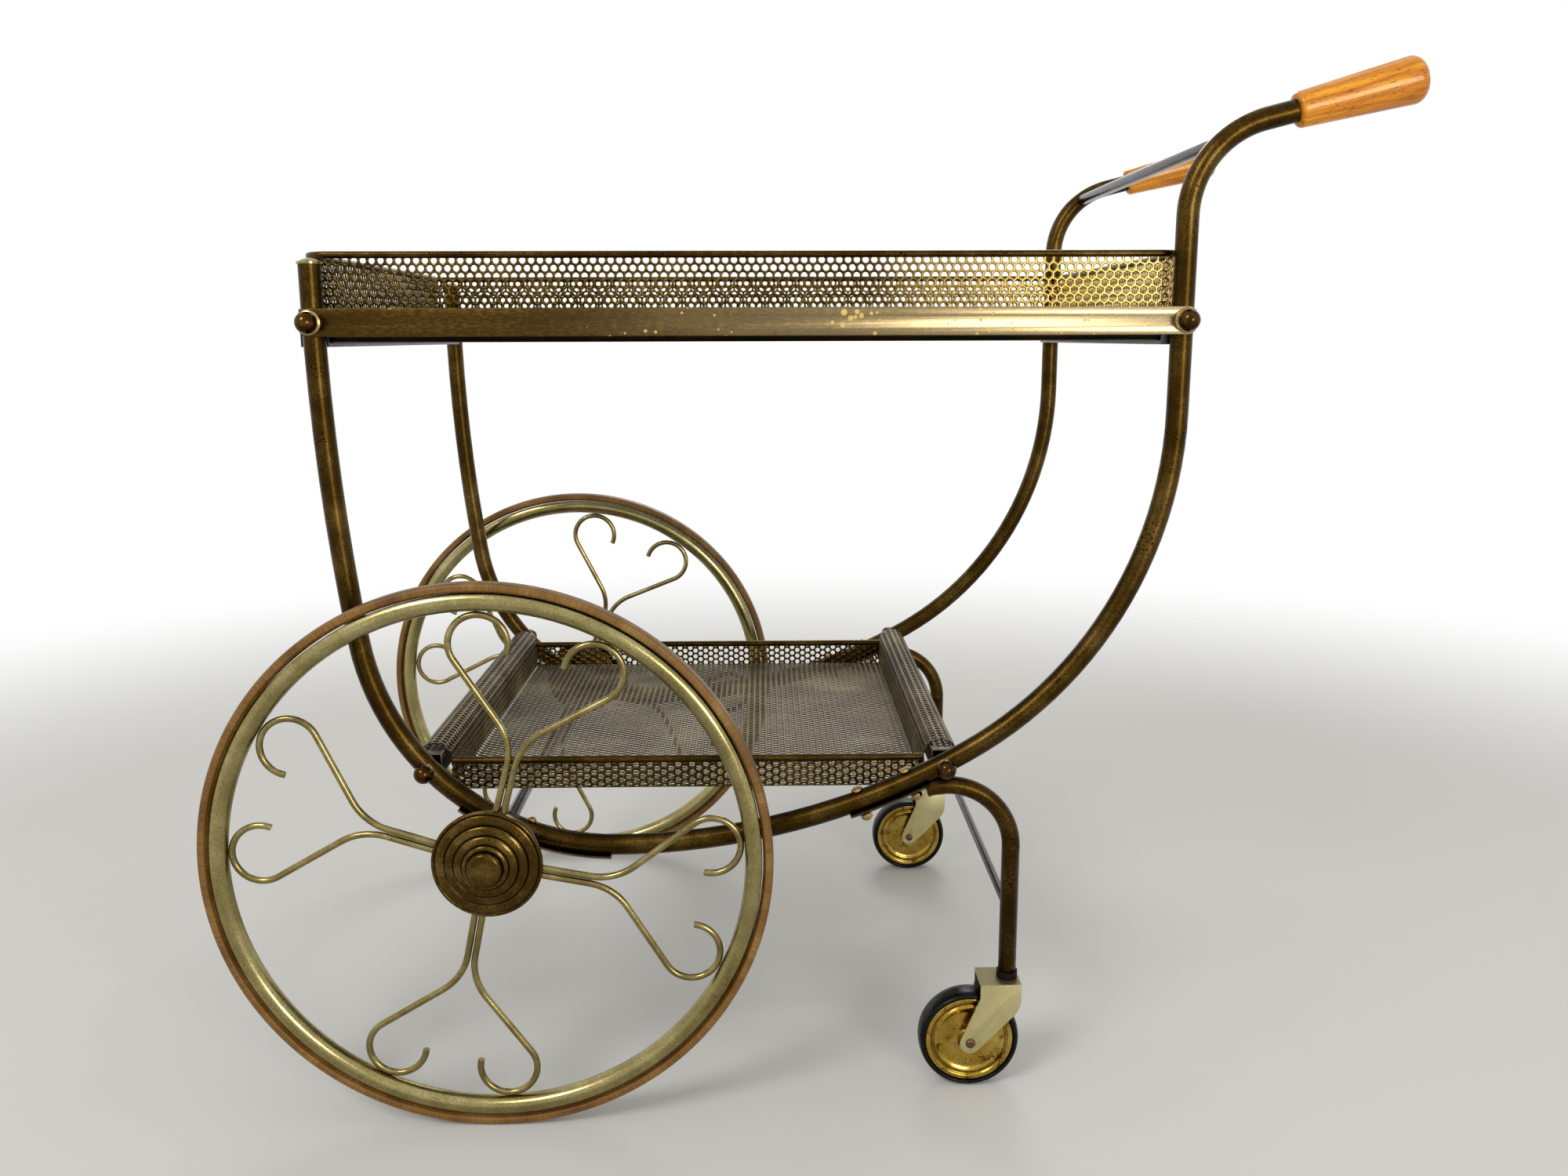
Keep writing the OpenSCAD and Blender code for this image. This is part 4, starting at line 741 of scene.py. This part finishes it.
def lowTraySheet():   # one sheet: over the front bar, down, along the floor, up and over the rear bar
    half = sheet["thick"] / 2
    (x0, x1), roll, fold = lowTray["x"], lowTray["roll"], lowTray["fold"]
    lip, over, corner = (lowTray["lip"], 0), (roll * math.pi, -180), (fold * math.pi / 2, 90)
    drop = (lowTray["barZ"] - lowTray["floor"] - half - fold, 0)
    floor = (x1 - x0 - 2 * half - 2 * fold, 0)
    route = [lip, over, drop, corner, floor, corner, drop, over, lip]
    start = (x0 + half - 2 * roll, lowTray["barZ"] - lowTray["lip"], math.pi / 2)
    whole, parts = sum(length for length, _ in route), lowTray["sheetParts"]
    for k in range(parts):
        bm = pierced((-lowTray["y"], lowTray["y"]), (whole * k / parts, whole * (k + 1) / parts))
        for spot in bm.verts:
            y, s, _ = spot.co
            x, z, _ = follow(route, start, s)
            spot.co = (x, y, z)
        showSheet(bm, "lower_sheet_%d" % (k + 1), "lower_tray", ["lower_tray"], "dustyBrassSheet")


def lowTraySides():
    for side, way in sides.items():
        bm = pierced((lowTray["floor"], lowTray["sideTop"]), lowTray["x"], (lowTray["holesZ"], 0))
        for spot in bm.verts:
            z, x, _ = spot.co
            spot.co = (x, way * (lowTray["y"] - sheet["thick"] / 2), z)
        showSheet(bm, "lower_side_" + side, "lower_tray", ["lower_tray"], "lacqueredBrassSheet")


topTrayFloor()
topTrayWall()
lowTraySheet()
lowTraySides()
print("trays pierced")

easedPieces = [   # node, body, slot, finish and broken edge in m, where * stands for left and for right
    ("*_rail", "frame", "rail_brass", "rolledBrassRail", 0.0006),
    ("*_axle_saddle", "frame", "saddle_metal", "redBrownStrip", 0.0004),
    ("*_leg", "frame", "tube_brass", "brownedBrassTube", 0.0004),
    ("*_caster_pin", "*_caster", "rivet_copper", "copperRivet", 0.0004),
    ("front_cross_angle", "frame", "dark_steel", "darkSteel", 0.0005),
    ("rear_cross_angle", "frame", "dark_steel", "darkSteel", 0.0005),
    ("lower_front_bar", "frame", "bar_steel", "barSteel", 0.0012),
    ("lower_rear_bar", "frame", "bar_steel", "barSteel", 0.0012),
    ("leg_screws", "frame", "screw_nickel", "nickelScrew", 0.0004),
    ("leg_nuts", "frame", "screw_nickel", "nickelScrew", 0.0004),
    ("saddle_screws", "frame", "screw_nickel", "nickelScrew", 0.0003),
    ("saddle_nuts", "frame", "screw_nickel", "nickelScrew", 0.0003),
]
for node, body, slot, finish, edge in easedPieces:
    for side in (sides if "*" in node else [""]):
        eased(node.replace("*", side), body.replace("*", side), metal[finish], edge)
print("edges eased")

plainFinishes = {   # the CAD pieces that stay as they are
    "brownedBrassTube": ["left_hoop", "right_hoop", "left_handle_tube", "right_handle_tube",
                         "top_tray_rim", "lower_tray_rims"],
    "brightSteel": ["rail_bolts", "tie_rods", "axle", "axle_washers", "axle_nuts",
                    "left_caster_stem", "right_caster_stem"],
    "dulledSteelRod": ["handle_crossbar", "leg_cross_rod"],
    "strawBrassRim": ["left_wheel_rim", "right_wheel_rim", "end_caps"],
    "drawnBrassWire": ["left_wheel_scrolls", "right_wheel_scrolls"],
    "turnedBronze": ["left_hub_bush", "right_hub_bush"],
}
ready = {name: metal[finish] for finish, names in plainFinishes.items() for name in names}
for side in sides:
    ready[side + "_grip"] = beech
    ready[side + "_caster_seal"] = sealRubber
for name in nodes:   # replaced nodes are never seen, and get a finish all the same
    unseen = metal["piercedBrassSheet" if name.endswith("_tray") else "brownedBrassTube"]
    nodes[name].material_slots[0].material = ready.get(name, unseen)
print("finishes given to", len(ready), "nodes")

studio = {
    "fill": 0.55, "backdrop": 1.0,              # strength of the white world on the object, and as it is seen
    "lamps": [("keyLamp", (-1.6, -2.2, 2.6), 1.2, 40),      # place and size in m, power in W
              ("fillLamp", (1.05, -2.3, 0.75), 0.9, 20),
              ("rearLamp", (0.4, 2.4, 2.2), 1.2, 22)],
    "aim": (0, 0, 0.35),
    "floor": "#d6d5d0", "floorRadius": 9, "floorFade": (1.0, 2.2),   # m from the middle where it turns white
    "rough": 0.85, "tooth": 300, "bump": 0.03, "relief": 0.0005,     # of its paper, tooth in cycles a metre
}


def seenRays(tree):   # 1 for what the camera sees, straight, in a reflection or through glass
    path = add(tree, "LightPath").outputs
    seen = add(tree, "Math", {0: path["Is Camera Ray"], 1: path["Is Glossy Ray"]}, operation="MAXIMUM")
    seen = add(tree, "Math", {0: seen.outputs["Value"], 1: path["Is Transmission Ray"]}, operation="MAXIMUM")
    return seen.outputs["Value"]


def whiteWorld():
    world = bpy.data.worlds.new("studioWorld")
    world.use_nodes = True
    tree = world.node_tree
    tree.nodes.clear()
    strength = add(tree, "MapRange", {"Value": seenRays(tree), "To Min": studio["fill"],
                                      "To Max": studio["backdrop"]}).outputs["Result"]
    glow = add(tree, "Background", {"Color": (1, 1, 1, 1), "Strength": strength}).outputs["Background"]
    add(tree, "OutputWorld", {"Surface": glow})
    bpy.context.scene.world = world


def softLamps():
    for name, place, size, power in studio["lamps"]:
        lamp = bpy.data.lights.new(name, "AREA")
        lamp.shape, lamp.size, lamp.energy = "DISK", size, power
        stand = bpy.data.objects.new(name, lamp)
        stand.location = place
        stand.rotation_euler = (Vector(studio["aim"]) - stand.location).to_track_quat("-Z", "Y").to_euler()
        bpy.context.scene.collection.objects.link(stand)


def floorPaper():   # matt paper with a faint tooth, lost in the white backdrop far off
    made, tree = newMaterial("mattFloorPaper")
    place = add(tree, "TexCoord").outputs["Object"]
    tooth = add(tree, "TexNoise", {"Vector": place, "Scale": studio["tooth"], "Detail": 3}).outputs["Fac"]
    bump = add(tree, "Bump", {"Height": tooth, "Strength": studio["bump"],
                              "Distance": studio["relief"]}).outputs["Normal"]
    paper = add(tree, "BsdfPrincipled", {"Base Color": linear(studio["floor"]), "Roughness": studio["rough"],
                                         "Specular IOR Level": 0.1, "Normal": bump}).outputs["BSDF"]
    away = add(tree, "VectorMath", {0: place}, operation="LENGTH").outputs["Value"]
    near, far = studio["floorFade"]
    fade = add(tree, "MapRange", {"Value": away, "From Min": near, "From Max": far},
               interpolation_type="SMOOTHSTEP").outputs["Result"]
    seenFade = add(tree, "Math", {0: fade, 1: seenRays(tree)}, operation="MULTIPLY").outputs["Value"]
    white = add(tree, "Emission", {"Strength": studio["backdrop"]}).outputs["Emission"]
    mixed = add(tree, "MixShader", {0: seenFade, 1: paper, 2: white}).outputs["Shader"]
    add(tree, "OutputMaterial", {"Surface": mixed})
    return made


def paleFloor():
    bm = bmesh.new()
    bmesh.ops.create_circle(bm, cap_ends=True, segments=96, radius=studio["floorRadius"])
    mesh = bpy.data.meshes.new("studioFloor")
    bm.to_mesh(mesh)
    bm.free()
    mesh.materials.append(floorPaper())
    floor = bpy.data.objects.new("studioFloor", mesh)
    bpy.context.scene.collection.objects.link(floor)


whiteWorld()
softLamps()
paleFloor()
bpy.context.scene.view_settings.view_transform = "Standard"
print("studio lit")
